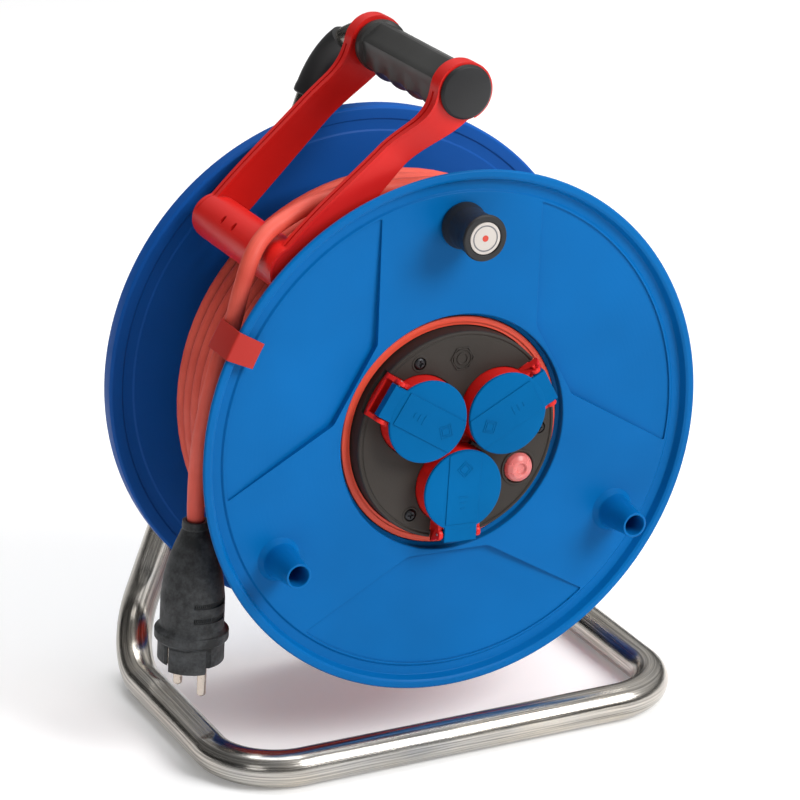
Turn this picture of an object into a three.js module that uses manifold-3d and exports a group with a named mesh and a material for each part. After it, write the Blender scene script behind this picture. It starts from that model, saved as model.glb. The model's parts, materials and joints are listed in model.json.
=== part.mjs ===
import * as THREE from 'three';
import { mergeVertices } from 'three/addons/utils/BufferGeometryUtils.js';
import Module from 'manifold-3d';

// Extension cord reel. Millimetres, Z up, crank side facing -Y, foot on Z = 0.
// Sub-parts are drawn in drum coordinates: origin on the drum axis in the plane of
// the front rim, Y to the rear, Z up. They are moved to the foot frame at the end.

// ---- frame ----
const AXLE_HEIGHT = 176.0;
const FRONT_RIM_Y = -68.7;
const TUBE_R = 10.0;
const TUBE_SIDES = 12;
const FOOT_Z = -166.0;
const FOOT_HALF_W = 130.8;
const FOOT_FRONT_Y = -17.0;
const FOOT_REAR_Y = 149.2;
const HANDLE_Z = 186.0;
const HANDLE_REAR_Y = 144.7;
const HANDLE_FRONT_Y = -4.4;
const HANDLE_BEND_R = 42.0;
const FOOT_BEND_R = 37.0;
const RIGHT_LEG_TOP_Z = 26.0;

// ---- drum ----
const DRUM_R = 145.0;
const DRUM_LEN = 131.9;
const FRONT_RIM_R = 143.5;
const RIM_FRONT_Y = -2.7;
const PLATE_FRONT_Y = 1.2;
const PLATE_BACK_Y = 7.0;
const REAR_PLATE_Y = 122.0;
const CORE_OUT_R = 70.5;
const CORE_IN_R = 68.0;
const OPENING_R = 65.0;
const POST_CIRCLE_R = 113.8;
const POST_ANGLES = [88.5, 208.5, 328.5];
const POST_TIP_Y = -24.0;
const PETAL_HALF_W = 46.0;

// ---- cable ----
const CABLE_R = 4.5;
const WINDING_IN_R = 71.0;
const WINDING_OUT_R = 118.6;
const INLET_Y = 46.0;
const INLET_ANGLE = 205.0;

// ---- socket panel ----
const COVER_R = 57.2;
const COVER_Y = -3.0;
const SOCKET_CIRCLE_R = 26.8;
const SOCKET_ANGLES = [147.0, 27.0, 267.0];
const COLLAR_R = 22.0;
const WELL_R = 19.8;
const COLLAR_Y = -11.8;
const HINGE_WALL_Y = -5.0;
const WELL_FLOOR_Y = 6.5;
const LID_R = 22.4;
const LID_TOP_Y = -14.2;
const LID_BOTTOM_Y = -12.3;
const PIN_U = 51.4;
const PIN_Y = -10.6;
const TONGUE_HALF_W = 9.3;
const PANEL_SCREW_R = 48.5;
const PANEL_SCREW_ANGLES = [117.5, 236.5, 356.5];
const RESET_POS = [36.4, -23.6];

const wasm = await Module();
wasm.setup();

const group = new THREE.Group();
group.name = 'extension_cord_reel';

const BLUE = 0x0a5fae;
const RED = 0xd92b1f;
const BLACK = 0x1d1d1e;
const STEEL = 0xb9b8b4;
const BRASS = 0xc9a860;
const CORD = 0xd4564a;

// ---------- helpers ----------

// Facets round a turned shape, as a share of the nominal count.
const FINENESS = 0.42;

function facets(nominal) {
  return Math.max(8, 2 * Math.round((nominal * FINENESS) / 2));
}

function rad(deg) {
  return (deg * Math.PI) / 180;
}

function polar(r, deg) {
  return [r * Math.cos(rad(deg)), r * Math.sin(rad(deg))];
}

// The outline running anticlockwise.
function anticlockwise(outline) {
  let area = 0;
  outline.forEach(([x, y], i) => {
    const [u, v] = outline[(i + 1) % outline.length];
    area += x * v - u * y;
  });
  return area > 0 ? outline : [...outline].reverse();
}

// A closed geometry as a solid that can be joined and cut.
function solidFrom(geometry) {
  geometry.deleteAttribute('normal');
  geometry.deleteAttribute('uv');
  const merged = mergeVertices(geometry, 1e-4);
  const corners = merged.index.array;
  const faces = [];
  for (let i = 0; i < corners.length; i += 3) {
    const [a, b, c] = corners.subarray(i, i + 3);
    if (a !== b && b !== c && c !== a) faces.push(a, b, c);
  }
  const mesh = new wasm.Mesh({
    numProp: 3,
    vertProperties: new Float32Array(merged.attributes.position.array),
    triVerts: new Uint32Array(faces),
  });
  return new wasm.Manifold(mesh);
}

// A solid of revolution about Y through (x, z), from a closed [radius, y] outline.
function turned(outline, x, z, segments) {
  const loop = anticlockwise(outline).map(([r, y]) => new THREE.Vector2(r, y));
  const geometry = new THREE.LatheGeometry([...loop, loop[0]], facets(segments));
  return solidFrom(geometry.translate(x, 0, z));
}

// A solid of revolution about Z through (x, y), from a closed [radius, z] outline.
function turnedUp(outline, x, y, segments) {
  return turned(outline, 0, 0, segments).rotate([90, 0, 0]).translate([x, y, 0]);
}

// A cone along Y with radius r0 at y0 and r1 at y1.
function cone(r0, r1, y0, y1, x, z, segments) {
  const count = segments === 6 ? 6 : facets(segments);
  const geometry = new THREE.CylinderGeometry(r1, r0, y1 - y0, count);
  return solidFrom(geometry.translate(x, (y0 + y1) / 2, z));
}

// A round bar along Y.
function bar(r, y0, y1, x, z, segments) {
  return cone(r, r, y0, y1, x, z, segments);
}

// A round bar along Z.
function upright(r, z0, z1, x, y, segments) {
  return bar(r, -z1, -z0, 0, 0, segments).rotate([-90, 0, 0]).translate([x, y, 0]);
}

// A round bar along X at height y over the drum's front.
function radialBar(r, x0, x1, y, segments) {
  return bar(r, -x1, -x0, 0, 0, segments).rotate([0, 0, 90]).translate([0, y, 0]);
}

// A box between two corners.
function block(a, b) {
  const size = b.map((v, i) => v - a[i]);
  const geometry = new THREE.BoxGeometry(...size);
  return solidFrom(geometry.translate(...b.map((v, i) => (v + a[i]) / 2)));
}

// A prism along Y from an (x, z) outline.
function prism(outline, y0, y1) {
  const shape = new THREE.Shape(outline.map(([x, z]) => new THREE.Vector2(x, -z)));
  const geometry = new THREE.ExtrudeGeometry(shape, { depth: y1 - y0, bevelEnabled: false });
  return solidFrom(geometry.rotateX(-Math.PI / 2).translate(0, y0, 0));
}

// Turns a solid drawn with its radial direction along +X to the angle deg about the drum axis.
function aim(solid, deg) {
  return solid.rotate([0, -deg, 0]);
}

function union(parts) {
  return parts.reduce((sum, part) => sum.add(part));
}

// Centre line through corner points with a bend of given radius at each inner corner.
function bentPath(corners, radii, stepDeg) {
  const v = corners.map((c) => new THREE.Vector3(...c));
  const points = [v[0]];
  for (let i = 1; i < v.length - 1; i += 1) {
    const a = v[i - 1].clone().sub(v[i]).normalize();
    const b = v[i + 1].clone().sub(v[i]).normalize();
    const half = a.angleTo(b) / 2;
    const r = radii[i - 1];
    const centre = v[i].clone().addScaledVector(a.clone().add(b).normalize(), r / Math.sin(half));
    const start = v[i].clone().addScaledVector(a, r / Math.tan(half)).sub(centre);
    const axis = a.clone().cross(b).normalize();
    const turn = Math.PI - 2 * half;
    const steps = Math.max(1, Math.round((turn * 180) / Math.PI / stepDeg));
    for (let k = 0; k <= steps; k += 1) {
      points.push(start.clone().applyAxisAngle(axis, (-turn * k) / steps).add(centre));
    }
  }
  points.push(v[v.length - 1]);
  return points;
}

function tangents(points) {
  return points.map((p, i) => {
    const before = points[Math.max(i - 1, 0)];
    const after = points[Math.min(i + 1, points.length - 1)];
    const a = p.clone().sub(before);
    const b = after.clone().sub(p);
    if (a.lengthSq() > 0) a.normalize();
    if (b.lengthSq() > 0) b.normalize();
    return a.add(b).normalize();
  });
}

// A solid bar swept along points; the first flat of its section faces firstFlat.
function swept(points, r, sides, firstFlat) {
  const along = tangents(points);
  let side = new THREE.Vector3(...firstFlat);
  side.addScaledVector(along[0], -side.dot(along[0])).normalize();
  const vertices = [];
  const corner = r / Math.cos(Math.PI / sides);
  points.forEach((p, i) => {
    if (i > 0) {
      const q = new THREE.Quaternion().setFromUnitVectors(along[i - 1], along[i]);
      side = side.clone().applyQuaternion(q);
      side.addScaledVector(along[i], -side.dot(along[i])).normalize();
    }
    const other = along[i].clone().cross(side);
    for (let k = 0; k < sides; k += 1) {
      const angle = ((k + 0.5) * 2 * Math.PI) / sides;
      const v = p.clone().addScaledVector(side, corner * Math.cos(angle));
      v.addScaledVector(other, corner * Math.sin(angle));
      vertices.push(v.x, v.y, v.z);
    }
  });
  const faces = [];
  for (let i = 0; i < points.length - 1; i += 1) {
    for (let k = 0; k < sides; k += 1) {
      const a = i * sides + k;
      const b = i * sides + ((k + 1) % sides);
      faces.push(a, b, b + sides, a, b + sides, a + sides);
    }
  }
  const last = (points.length - 1) * sides;
  for (let k = 1; k < sides - 1; k += 1) {
    faces.push(0, k + 1, k);
    faces.push(last, last + k, last + k + 1);
  }
  const geometry = new THREE.BufferGeometry();
  geometry.setAttribute('position', new THREE.Float32BufferAttribute(vertices, 3));
  geometry.setIndex(faces);
  return solidFrom(geometry);
}

function add(name, solid, color, roughness, metalness) {
  const placed = solid.asOriginal().simplify(0.02).translate([0, FRONT_RIM_Y, AXLE_HEIGHT]);
  const data = placed.getMesh();
  const geometry = new THREE.BufferGeometry();
  geometry.setAttribute('position', new THREE.BufferAttribute(data.vertProperties, 3));
  geometry.setIndex(new THREE.BufferAttribute(data.triVerts, 1));
  const material = new THREE.MeshStandardMaterial({ color, roughness, metalness });
  const mesh = new THREE.Mesh(geometry, material);
  mesh.name = name;
  group.add(mesh);
}

// A screw along Y with its head facing -Y at headY.
function screw(x, z, headR, headH, headY, shankR, endY, segments) {
  const head = cone(headR * 0.72, headR, headY, headY + headH, x, z, segments);
  const slotA = block([x - 0.45, headY - 1, z - 2], [x + 0.45, headY + 0.9, z + 2]);
  const slotB = block([x - 2, headY - 1, z - 0.45], [x + 2, headY + 0.9, z + 0.45]);
  return head.subtract(slotA).subtract(slotB).add(bar(shankR, headY + headH - 0.2, endY, x, z, 12));
}

// ---------- frame ----------

const handleCorner = [0, HANDLE_REAR_Y, HANDLE_Z];
const footRearLeft = [-FOOT_HALF_W, FOOT_REAR_Y, FOOT_Z];
const footRearRight = [FOOT_HALF_W, FOOT_REAR_Y, FOOT_Z];
const legSlope = FOOT_HALF_W / (HANDLE_Z - FOOT_Z);
const legLean = (FOOT_REAR_Y - HANDLE_REAR_Y) / (HANDLE_Z - FOOT_Z);

function legPoint(side, z) {
  const drop = HANDLE_Z - z;
  return [side * legSlope * drop, HANDLE_REAR_Y + legLean * drop, z];
}

function frameTube() {
  const path = bentPath(
    [
      [0, HANDLE_FRONT_Y, HANDLE_Z],
      handleCorner,
      footRearLeft,
      [-FOOT_HALF_W, FOOT_FRONT_Y, FOOT_Z],
      [FOOT_HALF_W, FOOT_FRONT_Y, FOOT_Z],
      footRearRight,
      legPoint(1, RIGHT_LEG_TOP_Z),
    ],
    [HANDLE_BEND_R, FOOT_BEND_R, FOOT_BEND_R, FOOT_BEND_R, FOOT_BEND_R],
    18,
  );
  // The flat that starts here faces the ground once the tube has reached the foot.
  const legDir = new THREE.Vector3(...footRearLeft).sub(new THREE.Vector3(...handleCorner));
  const hinge = legDir.cross(new THREE.Vector3(0, 1, 0)).normalize();
  const down = new THREE.Vector3(0, 0, -1);
  const flat = hinge.clone().multiplyScalar(2 * down.dot(hinge)).sub(down);
  let tube = swept(path, TUBE_R, TUBE_SIDES, [flat.x, flat.y, flat.z]);
  tube = tube.subtract(bar(8.2, HANDLE_FRONT_Y - 1, 22, 0, HANDLE_Z, 24));
  const top = new THREE.Vector3(...legPoint(1, RIGHT_LEG_TOP_Z));
  const below = new THREE.Vector3(...legPoint(1, RIGHT_LEG_TOP_Z - 20));
  const past = top.clone().add(top.clone().sub(below).multiplyScalar(0.1));
  tube = tube.subtract(swept([below, past], 8.1, 16, [0, 1, 0]));
  for (const side of [-1, 1]) {
    const [x] = legPoint(side, 0);
    tube = tube.subtract(bar(3.5, 130, 165, x, 0, 16));
  }
  return tube;
}

function legPlug() {
  const top = new THREE.Vector3(...legPoint(1, RIGHT_LEG_TOP_Z));
  const step = top.clone().sub(new THREE.Vector3(...legPoint(1, RIGHT_LEG_TOP_Z - 1)));
  const at = (s) => top.clone().addScaledVector(step, s);
  const stem = swept([at(-12), at(1)], 7.4, 16, [0, 1, 0]);
  const head = swept([at(0.4), at(2.4)], 9.9, 16, [0, 1, 0]);
  return stem.add(head);
}

function axleBracket() {
  const [left] = legPoint(-1, 0);
  const outline = [
    [left - 9, -16],
    [-26, -21],
    [26, -21],
    [-left + 9, -16],
    [-left + 9, 16],
    [26, 21],
    [-26, 21],
    [left - 9, 16],
  ];
  let plate = prism(outline, 131.8, 135.8);
  plate = plate.add(bar(15, 135.4, 139.0, 0, 0, 32));
  plate = plate.subtract(bar(6.6, 130, 141, 0, 0, 24));
  for (const side of [-1, 1]) {
    plate = plate.subtract(bar(3.5, 130, 137, side * left, 0, 16));
  }
  return plate;
}

function bracketBolt(side) {
  const [x] = legPoint(side, 0);
  const head = turned([[0, 128.9], [4.6, 129.5], [6.4, 131.4], [0, 131.4]], x, 0, 16);
  return head.add(bar(3.0, 131.2, 164.4, x, 0, 12));
}

function hexNut(across, bore, y0, y1, x, z) {
  const outer = bar(across / Math.sqrt(3), y0, y1, x, z, 6);
  return outer.subtract(bar(bore, y0 - 1, y1 + 1, x, z, 32));
}

function axle() {
  const outline = [
    [0, 74.0],
    [7.0, 74.0],
    [7.9, 74.9],
    [7.9, 77.0],
    [6.6, 77.0],
    [6.6, 78.6],
    [7.9, 78.6],
    [7.9, 128.3],
    [13.0, 128.3],
    [13.0, 131.4],
    [6.1, 131.4],
    [6.1, 152.5],
    [5.2, 153.4],
    [0, 153.4],
  ];
  return turned(outline, 0, 0, 32);
}

function ring(inner, outer, y0, y1, segments) {
  return bar(outer, y0, y1, 0, 0, segments).subtract(bar(inner, y0 - 1, y1 + 1, 0, 0, segments));
}

function circlip() {
  const body = ring(6.95, 10.2, 77.2, 78.3, 32);
  return body.subtract(block([-1.6, 76, -12], [1.6, 80, 0]));
}

function axleBush() {
  const outline = [
    [8.3, 80.4],
    [11.0, 80.4],
    [11.0, 126.4],
    [13.6, 126.4],
    [13.6, 127.9],
    [8.3, 127.9],
  ];
  return turned(outline, 0, 0, 32);
}

// ---------- handle ----------

function handleCap() {
  const outline = [
    [0, -8.0],
    [9.0, -7.8],
    [13.0, -7.1],
    [14.2, -5.8],
    [14.2, -4.9],
    [7.4, -4.9],
    [7.4, 14.0],
    [6.4, 16.0],
    [0, 16.0],
  ];
  return turned(outline, 0, HANDLE_Z, 32);
}

function grip() {
  const outline = [
    [10.95, 5.4],
    [12.9, 5.4],
    [12.5, 7.0],
    [12.5, 90.0],
    [14.2, 91.5],
    [14.2, 97.9],
    [10.95, 97.9],
  ];
  let solid = turned(outline, 0, HANDLE_Z, 32);
  for (let k = 0; k < 4; k += 1) {
    const y = 22 + k * 19;
    const swell = cone(12.4, 15.2, y - 7, y - 1, 0, HANDLE_Z, 20);
    const fall = cone(15.2, 12.4, y - 1, y + 5, 0, HANDLE_Z, 20);
    const below = block([-9, y - 8, HANDLE_Z - 20], [9, y + 6, HANDLE_Z - 11.4]);
    solid = solid.add(swell.add(fall).intersect(below));
  }
  return solid.subtract(bar(10.95, 4, 101, 0, HANDLE_Z, 32));
}

function bendSleeve() {
  const path = bentPath(
    [[0, 99.0, HANDLE_Z], handleCorner, legPoint(-1, 142.0)],
    [HANDLE_BEND_R],
    15,
  );
  const bore = [new THREE.Vector3(0, 96.0, HANDLE_Z), ...path.slice(1, -1), new THREE.Vector3(...legPoint(-1, 139.0))];
  const outer = swept(path, 11.9, 16, [0, 0, 1]);
  const inner = swept(bore, 10.7, 16, [0, 0, 1]);
  // The near end is cut on a slant, so that the tube shows above the sleeve.
  const cut = new THREE.Vector3(-0.323, 0.384, -0.87).normalize();
  const through = new THREE.Vector3(-0.2, 137.4, HANDLE_Z - 0.6);
  return outer.subtract(inner).trimByPlane(cut.toArray(), cut.dot(through));
}

const GUIDE_BAR = [-88.6, 98.3];
const GUIDE_BAR_R = 12.8;

function guideAt(t) {
  return [GUIDE_BAR[0] * t, HANDLE_Z + (GUIDE_BAR[1] - HANDLE_Z) * t];
}

// The outline round two circles and the straight sides that touch both.
function strap(from, fromR, to, toR) {
  const dx = to[0] - from[0];
  const dz = to[1] - from[1];
  const along = (Math.atan2(dz, dx) * 180) / Math.PI;
  const lean = (Math.acos((fromR - toR) / Math.hypot(dx, dz)) * 180) / Math.PI;
  const outline = [];
  for (let k = 0; k <= 6; k += 1) {
    const [x, z] = polar(toR, along - lean + (2 * lean * k) / 6);
    outline.push([to[0] + x, to[1] + z]);
  }
  for (let k = 0; k <= 6; k += 1) {
    const [x, z] = polar(fromR, along + lean + ((360 - 2 * lean) * k) / 6);
    outline.push([from[0] + x, from[1] + z]);
  }
  return outline;
}

// One arm of the guide: its eye lies between y0 and y1, its lower end between lowY0 and lowY1.
// eyeW, kneeW and barW are its half-widths below the eye, at the knee and at the bar.
function guideArm(y0, y1, lowY0, lowY1, [eyeW, kneeW, barW]) {
  const knee = guideAt(0.24);
  const from = Math.min(y0, lowY0) - 1;
  const to = Math.max(y1, lowY1) + 1;
  const plan = union([
    bar(15.4, from, to, 0, HANDLE_Z, 32),
    prism(strap(guideAt(0.04), eyeW, knee, kneeW), from, to),
    prism(strap(knee, kneeW, GUIDE_BAR, barW), from, to),
    bar(12.8, from, to, GUIDE_BAR[0], GUIDE_BAR[1], 32),
  ]);
  const side = [
    [-20, y0],
    [15.5, y0],
    [36, lowY0],
    [150, lowY0],
    [150, lowY1],
    [36, lowY1],
    [15.5, y1],
    [-20, y1],
  ];
  const slope = (Math.atan2(GUIDE_BAR[1] - HANDLE_Z, GUIDE_BAR[0]) * 180) / Math.PI;
  const slab = aim(prism(side, -30, 30).rotate([-90, 0, 0]), slope);
  return plan.intersect(slab.translate([0, 0, HANDLE_Z]));
}

function guide() {
  const front = guideArm(-4.5, 4.9, 9.4, 16.4, [13.0, 8.8, 11.0]);
  const rear = guideArm(98.4, 106.6, 103.3, 110.7, [11.5, 8.4, 10.2]);
  const [bx, bz] = GUIDE_BAR;
  let solid = union([front, rear, bar(GUIDE_BAR_R, 12, 111, bx, bz, 32)]);
  solid = solid.subtract(bar(10.95, -6, 110, 0, HANDLE_Z, 32));
  // The rear eye is a looser fit, where the tube starts to bend.
  solid = solid.subtract(bar(11.5, 97, 110, 0, HANDLE_Z, 40));
  // The crossbar is hollow and open below.
  const hollow = bar(9.8, 19, 102, bx, bz, 24);
  return solid.subtract(hollow).subtract(block([bx - 6, 19, bz - 15], [bx + 6, 102, bz - 5]));
}

// ---------- drum ----------

// One of the three sunk fields between the raised petals of the front flange. Its floor is
// a shallow cone, deepest at the inner chord.
function sunkField(deg) {
  const inner = 66.8;
  const outer = 130.0;
  const edge = (a) => (a * Math.sin(rad(60)) - PETAL_HALF_W) / Math.cos(rad(60));
  const chamfer = 2.6;
  const outline = [[inner + chamfer, -edge(inner + chamfer)]];
  const reach = 40.3;
  for (let k = 0; k <= 8; k += 1) {
    const angle = -reach + (2 * reach * k) / 8;
    outline.push(polar(outer, angle));
  }
  outline.push([inner + chamfer, edge(inner + chamfer)]);
  outline.push([inner, edge(inner) - chamfer]);
  outline.push([inner, -edge(inner) + chamfer]);
  const floor = [
    [0, -2],
    [outer + 1, -2],
    [outer + 1, PLATE_FRONT_Y + 0.9],
    [inner, PLATE_FRONT_Y + 3.8],
    [0, PLATE_FRONT_Y + 3.8],
  ];
  return aim(prism(outline, -1.5, PLATE_FRONT_Y + 5), deg).intersect(turned(floor, 0, 0, 96));
}

function frontFlange() {
  const outline = [
    [OPENING_R, PLATE_FRONT_Y],
    [130.0, PLATE_FRONT_Y],
    [131.5, PLATE_FRONT_Y + 0.9],
    [136.8, PLATE_FRONT_Y + 0.9],
    [139.2, RIM_FRONT_Y],
    [142.7, RIM_FRONT_Y],
    [FRONT_RIM_R, RIM_FRONT_Y + 0.8],
    [140.8, 3.0],
    [138.6, PLATE_BACK_Y],
    [CORE_IN_R - 0.4, PLATE_BACK_Y],
    [CORE_IN_R - 0.4, 15.0],
    [OPENING_R - 2.0, 15.0],
    [OPENING_R - 2.0, 6.4],
  ];
  let solid = turned(outline, 0, 0, 96);
  for (const deg of [148.5, 268.5, 28.5]) {
    solid = solid.subtract(sunkField(deg));
  }
  POST_ANGLES.forEach((deg, i) => {
    const [x, z] = polar(POST_CIRCLE_R, deg);
    if (i === 0) {
      solid = solid.add(cone(7.2, 8.6, -17.0, 3.0, x, z, 24));
      solid = solid.subtract(bar(2.2, -18, 5.0, x, z, 12));
    } else {
      solid = solid.add(cone(7.0, 10.2, POST_TIP_Y, 3.0, x, z, 32));
      solid = solid.subtract(cone(5.5, 6.6, POST_TIP_Y - 0.01, 4.4, x, z, 24));
    }
  });
  return solid;
}

function windingCore() {
  const tube = ring(CORE_IN_R, CORE_OUT_R, PLATE_BACK_Y + 0.5, REAR_PLATE_Y - 0.3, 72);
  const bossPoints = [60, 180, 300];
  let solid = tube;
  for (const deg of bossPoints) {
    const [x, z] = polar(64.0, deg);
    const boss = bar(4.2, 96, REAR_PLATE_Y - 0.3, x, z, 16);
    const web = aim(block([63.0, 96, -2.0], [69.0, REAR_PLATE_Y - 0.3, 2.0]), deg);
    solid = solid.add(boss).add(web).subtract(bar(1.9, 100, REAR_PLATE_Y, x, z, 12));
  }
  return solid.subtract(aim(radialBar(5.2, 52, 82, INLET_Y, 20), INLET_ANGLE));
}

function rearFlange() {
  const outline = [
    [11.45, 84.0],
    [17.0, 84.0],
    [17.6, REAR_PLATE_Y],
    [DRUM_R, REAR_PLATE_Y],
    [DRUM_R, DRUM_LEN - 0.9],
    [DRUM_R - 0.9, DRUM_LEN],
    [DRUM_R - 3.6, DRUM_LEN],
    [DRUM_R - 4.6, REAR_PLATE_Y + 4.0],
    [11.45, REAR_PLATE_Y + 4.0],
  ];
  let solid = turned(outline, 0, 0, 96);
  for (const deg of [60, 180, 300]) {
    const [x, z] = polar(64.0, deg);
    solid = solid.subtract(bar(2.4, 120, 128, x, z, 16));
    solid = solid.subtract(cone(2.4, 4.6, 124.2, 126.4, x, z, 16));
  }
  for (let k = 0; k < 6; k += 1) {
    const rib = aim(block([16.5, 100, -1.2], [58, REAR_PLATE_Y + 0.5, 1.2]), k * 60 + 30);
    solid = solid.add(rib);
  }
  return solid;
}

function coreScrew(deg) {
  const [x, z] = polar(64.0, deg);
  const head = cone(1.5, 4.1, 124.3, 126.1, x, z, 16);
  return head.add(bar(1.5, 104, 125.5, x, z, 10));
}

const [KNOB_X, KNOB_Z] = polar(POST_CIRCLE_R, POST_ANGLES[0]);

function knob() {
  const outline = [
    [9.2, 0.6],
    [12.6, 0.6],
    [12.4, -1.4],
    [11.4, -7.0],
    [11.3, -14.0],
    [12.0, -20.4],
    [12.5, -23.4],
    [11.6, -24.5],
    [8.9, -24.5],
    [8.9, -23.2],
    [5.0, -23.2],
    [5.0, -20.2],
    [2.6, -20.2],
    [2.6, -17.4],
    [9.2, -17.4],
  ];
  return turned(outline, KNOB_X, KNOB_Z, 40);
}

function knobCap() {
  return bar(8.5, -24.2, -23.5, KNOB_X, KNOB_Z, 32);
}

function knobScrew() {
  const head = cone(3.6, 4.4, -22.8, -20.5, KNOB_X, KNOB_Z, 16);
  return head.add(bar(1.8, -20.7, 1.0, KNOB_X, KNOB_Z, 10));
}

function cableClip() {
  const outline = [
    [129.0, -4.6],
    [129.0, -3.2],
    [143.9, -3.2],
    [143.9, 21.4],
    [135.0, 21.4],
    [133.2, 19.6],
    [132.3, 20.5],
    [134.5, 22.7],
    [145.2, 22.7],
    [145.2, -4.6],
  ];
  const full = turned(outline, 0, 0, 180);
  const wedge = [[0, 0], polar(170, 148.8), polar(170, 155.0)];
  return full.intersect(prism(wedge, -10, 30));
}

// ---------- cable and plug ----------

function windingPack() {
  const outline = [
    [WINDING_IN_R, 8.6],
    [WINDING_OUT_R - 2.0, 8.6],
    [WINDING_OUT_R, 10.6],
    [WINDING_OUT_R, 88.0],
    [104.0, REAR_PLATE_Y - 2.5],
    [102.0, REAR_PLATE_Y - 1.0],
    [WINDING_IN_R, REAR_PLATE_Y - 1.0],
  ];
  return turned(outline, 0, 0, 72);
}

const LEAD_POINTS = [
  [22.0, 43.0, 122.2],
  [-8.0, 41.5, 124.4],
  [-38.0, 38.5, 125.8],
  [-66.5, 34.0, 124.0],
  [-89.0, 27.5, 118.0],
  [-99.6, 23.4, 112.8],
  [-107.6, 19.2, 104.2],
  [-114.2, 17.0, 88.4],
  [-119.6, 16.3, 70.4],
  [-126.9, 15.8, 53.0],
  [-132.6, 16.8, 31.0],
  [-135.4, 20.0, 10.4],
  [-135.9, 24.2, -10.5],
  [-135.3, 27.6, -28.0],
  [-135.2, 28.0, -36.6],
];

function cableLead() {
  const curve = new THREE.CatmullRomCurve3(LEAD_POINTS.map((p) => new THREE.Vector3(...p)));
  const section = new THREE.Shape();
  for (let k = 0; k < 8; k += 1) {
    const [x, y] = polar(CABLE_R, 22.5 + k * 45);
    if (k === 0) section.moveTo(x, y);
    else section.lineTo(x, y);
  }
  const options = { steps: 30, bevelEnabled: false, extrudePath: curve };
  return solidFrom(new THREE.ExtrudeGeometry(section, options));
}

function cableTail() {
  return aim(radialBar(CABLE_R, 44.2, 70.2, INLET_Y, 16), INLET_ANGLE);
}

const PLUG_TOP = [-135.2, 28.0, -37.0];
const PLUG_TILT = 2.7;
const PLUG_ROLL = 18.0;

// Places a solid drawn with the plug axis along -Z from the origin.
function plugPlace(solid) {
  return solid.rotate([0, 0, PLUG_ROLL]).rotate([0, PLUG_TILT, 0]).translate(PLUG_TOP);
}

function plugBody() {
  const outline = [
    [0, 0],
    [0, -77.0],
    [16.6, -77.0],
    [17.6, -76.0],
    [17.6, -65.5],
    [19.6, -64.6],
    [19.6, -59.5],
    [17.2, -58.5],
    [17.2, -42.0],
    [16.2, -33.0],
    [14.5, -25.0],
    [12.4, -18.0],
    [9.8, -11.0],
    [7.6, -5.0],
    [6.6, 0],
  ];
  let solid = turnedUp(outline, 0, 0, 40);
  // A lip on the side of the mouth that faces forward and to the left.
  const ringLip = turnedUp([[14.9, -80.0], [17.6, -80.0], [17.6, -76.0], [14.9, -76.0]], 0, 0, 40);
  const sector = block([8.0, -10.3, -81.0], [20.0, 10.3, -75.0]).rotate([0, 0, -138.2]);
  solid = solid.add(ringLip.intersect(sector));
  solid = solid.subtract(upright(2.75, -78, -56, 0, 9.5, 18));
  solid = solid.subtract(upright(2.75, -78, -56, 0, -9.5, 18));
  for (const side of [-1, 1]) {
    const notch = block([side * 17.4 - 1.9, -3.4, -81], [side * 17.4 + 1.9, 3.4, -66.3]);
    solid = solid.subtract(notch);
  }
  return plugPlace(solid);
}

function plugPin(y) {
  const outline = [
    [0, -56.3],
    [2.4, -56.3],
    [2.4, -94.5],
    [1.4, -96.0],
    [0, -96.0],
  ];
  return plugPlace(turnedUp(outline, 0, y, 18));
}

function plugEarth(side) {
  const plate = block([side * 16.2 - 0.65, -2.8, -76.6], [side * 16.2 + 0.65, 2.8, -66.3]);
  return plugPlace(plate);
}

// ---------- socket panel ----------

function panelHousing() {
  const outline = [
    [57.8, 5.6],
    [62.6, 5.6],
    [62.6, 8.4],
    [61.6, 9.2],
    [61.6, 62.0],
    [0, 62.0],
    [0, 59.6],
    [59.2, 59.6],
    [59.2, 9.4],
    [57.8, 8.6],
  ];
  let solid = turned(outline, 0, 0, 72);
  solid = solid.subtract(aim(radialBar(5.2, 46, 76, INLET_Y, 20), INLET_ANGLE));
  for (const deg of PANEL_SCREW_ANGLES) {
    const [x, z] = polar(PANEL_SCREW_R, deg);
    solid = solid.add(bar(4.4, 12, 60, x, z, 16)).subtract(bar(1.6, 11, 34, x, z, 12));
  }
  const centre = bar(5.0, 22, 60, 0, 0, 16).subtract(bar(1.6, 21, 40, 0, 0, 12));
  return solid.add(centre);
}

function panelCover() {
  const outline = [
    [0, COVER_Y],
    [COVER_R - 0.8, COVER_Y],
    [COVER_R, COVER_Y + 0.8],
    [COVER_R, 11.0],
    [COVER_R - 2.0, 11.0],
    [COVER_R - 2.0, COVER_Y + 2.6],
    [0, COVER_Y + 2.6],
  ];
  let solid = turned(outline, 0, 0, 72);
  for (const deg of SOCKET_ANGLES) {
    solid = solid.subtract(aim(bar(COLLAR_R + 0.5, -6, 2, SOCKET_CIRCLE_R, 0, 48), deg));
  }
  solid = solid.subtract(bar(10, -6, 2, 0, 0, 24));
  for (const deg of PANEL_SCREW_ANGLES) {
    const [x, z] = polar(PANEL_SCREW_R, deg);
    solid = solid.subtract(bar(2.0, -6, 2, x, z, 12));
    solid = solid.subtract(bar(3.4, -6, COVER_Y + 1.2, x, z, 16));
  }
  return solid.subtract(bar(8.4, -6, 2, RESET_POS[0], RESET_POS[1], 28));
}

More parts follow.
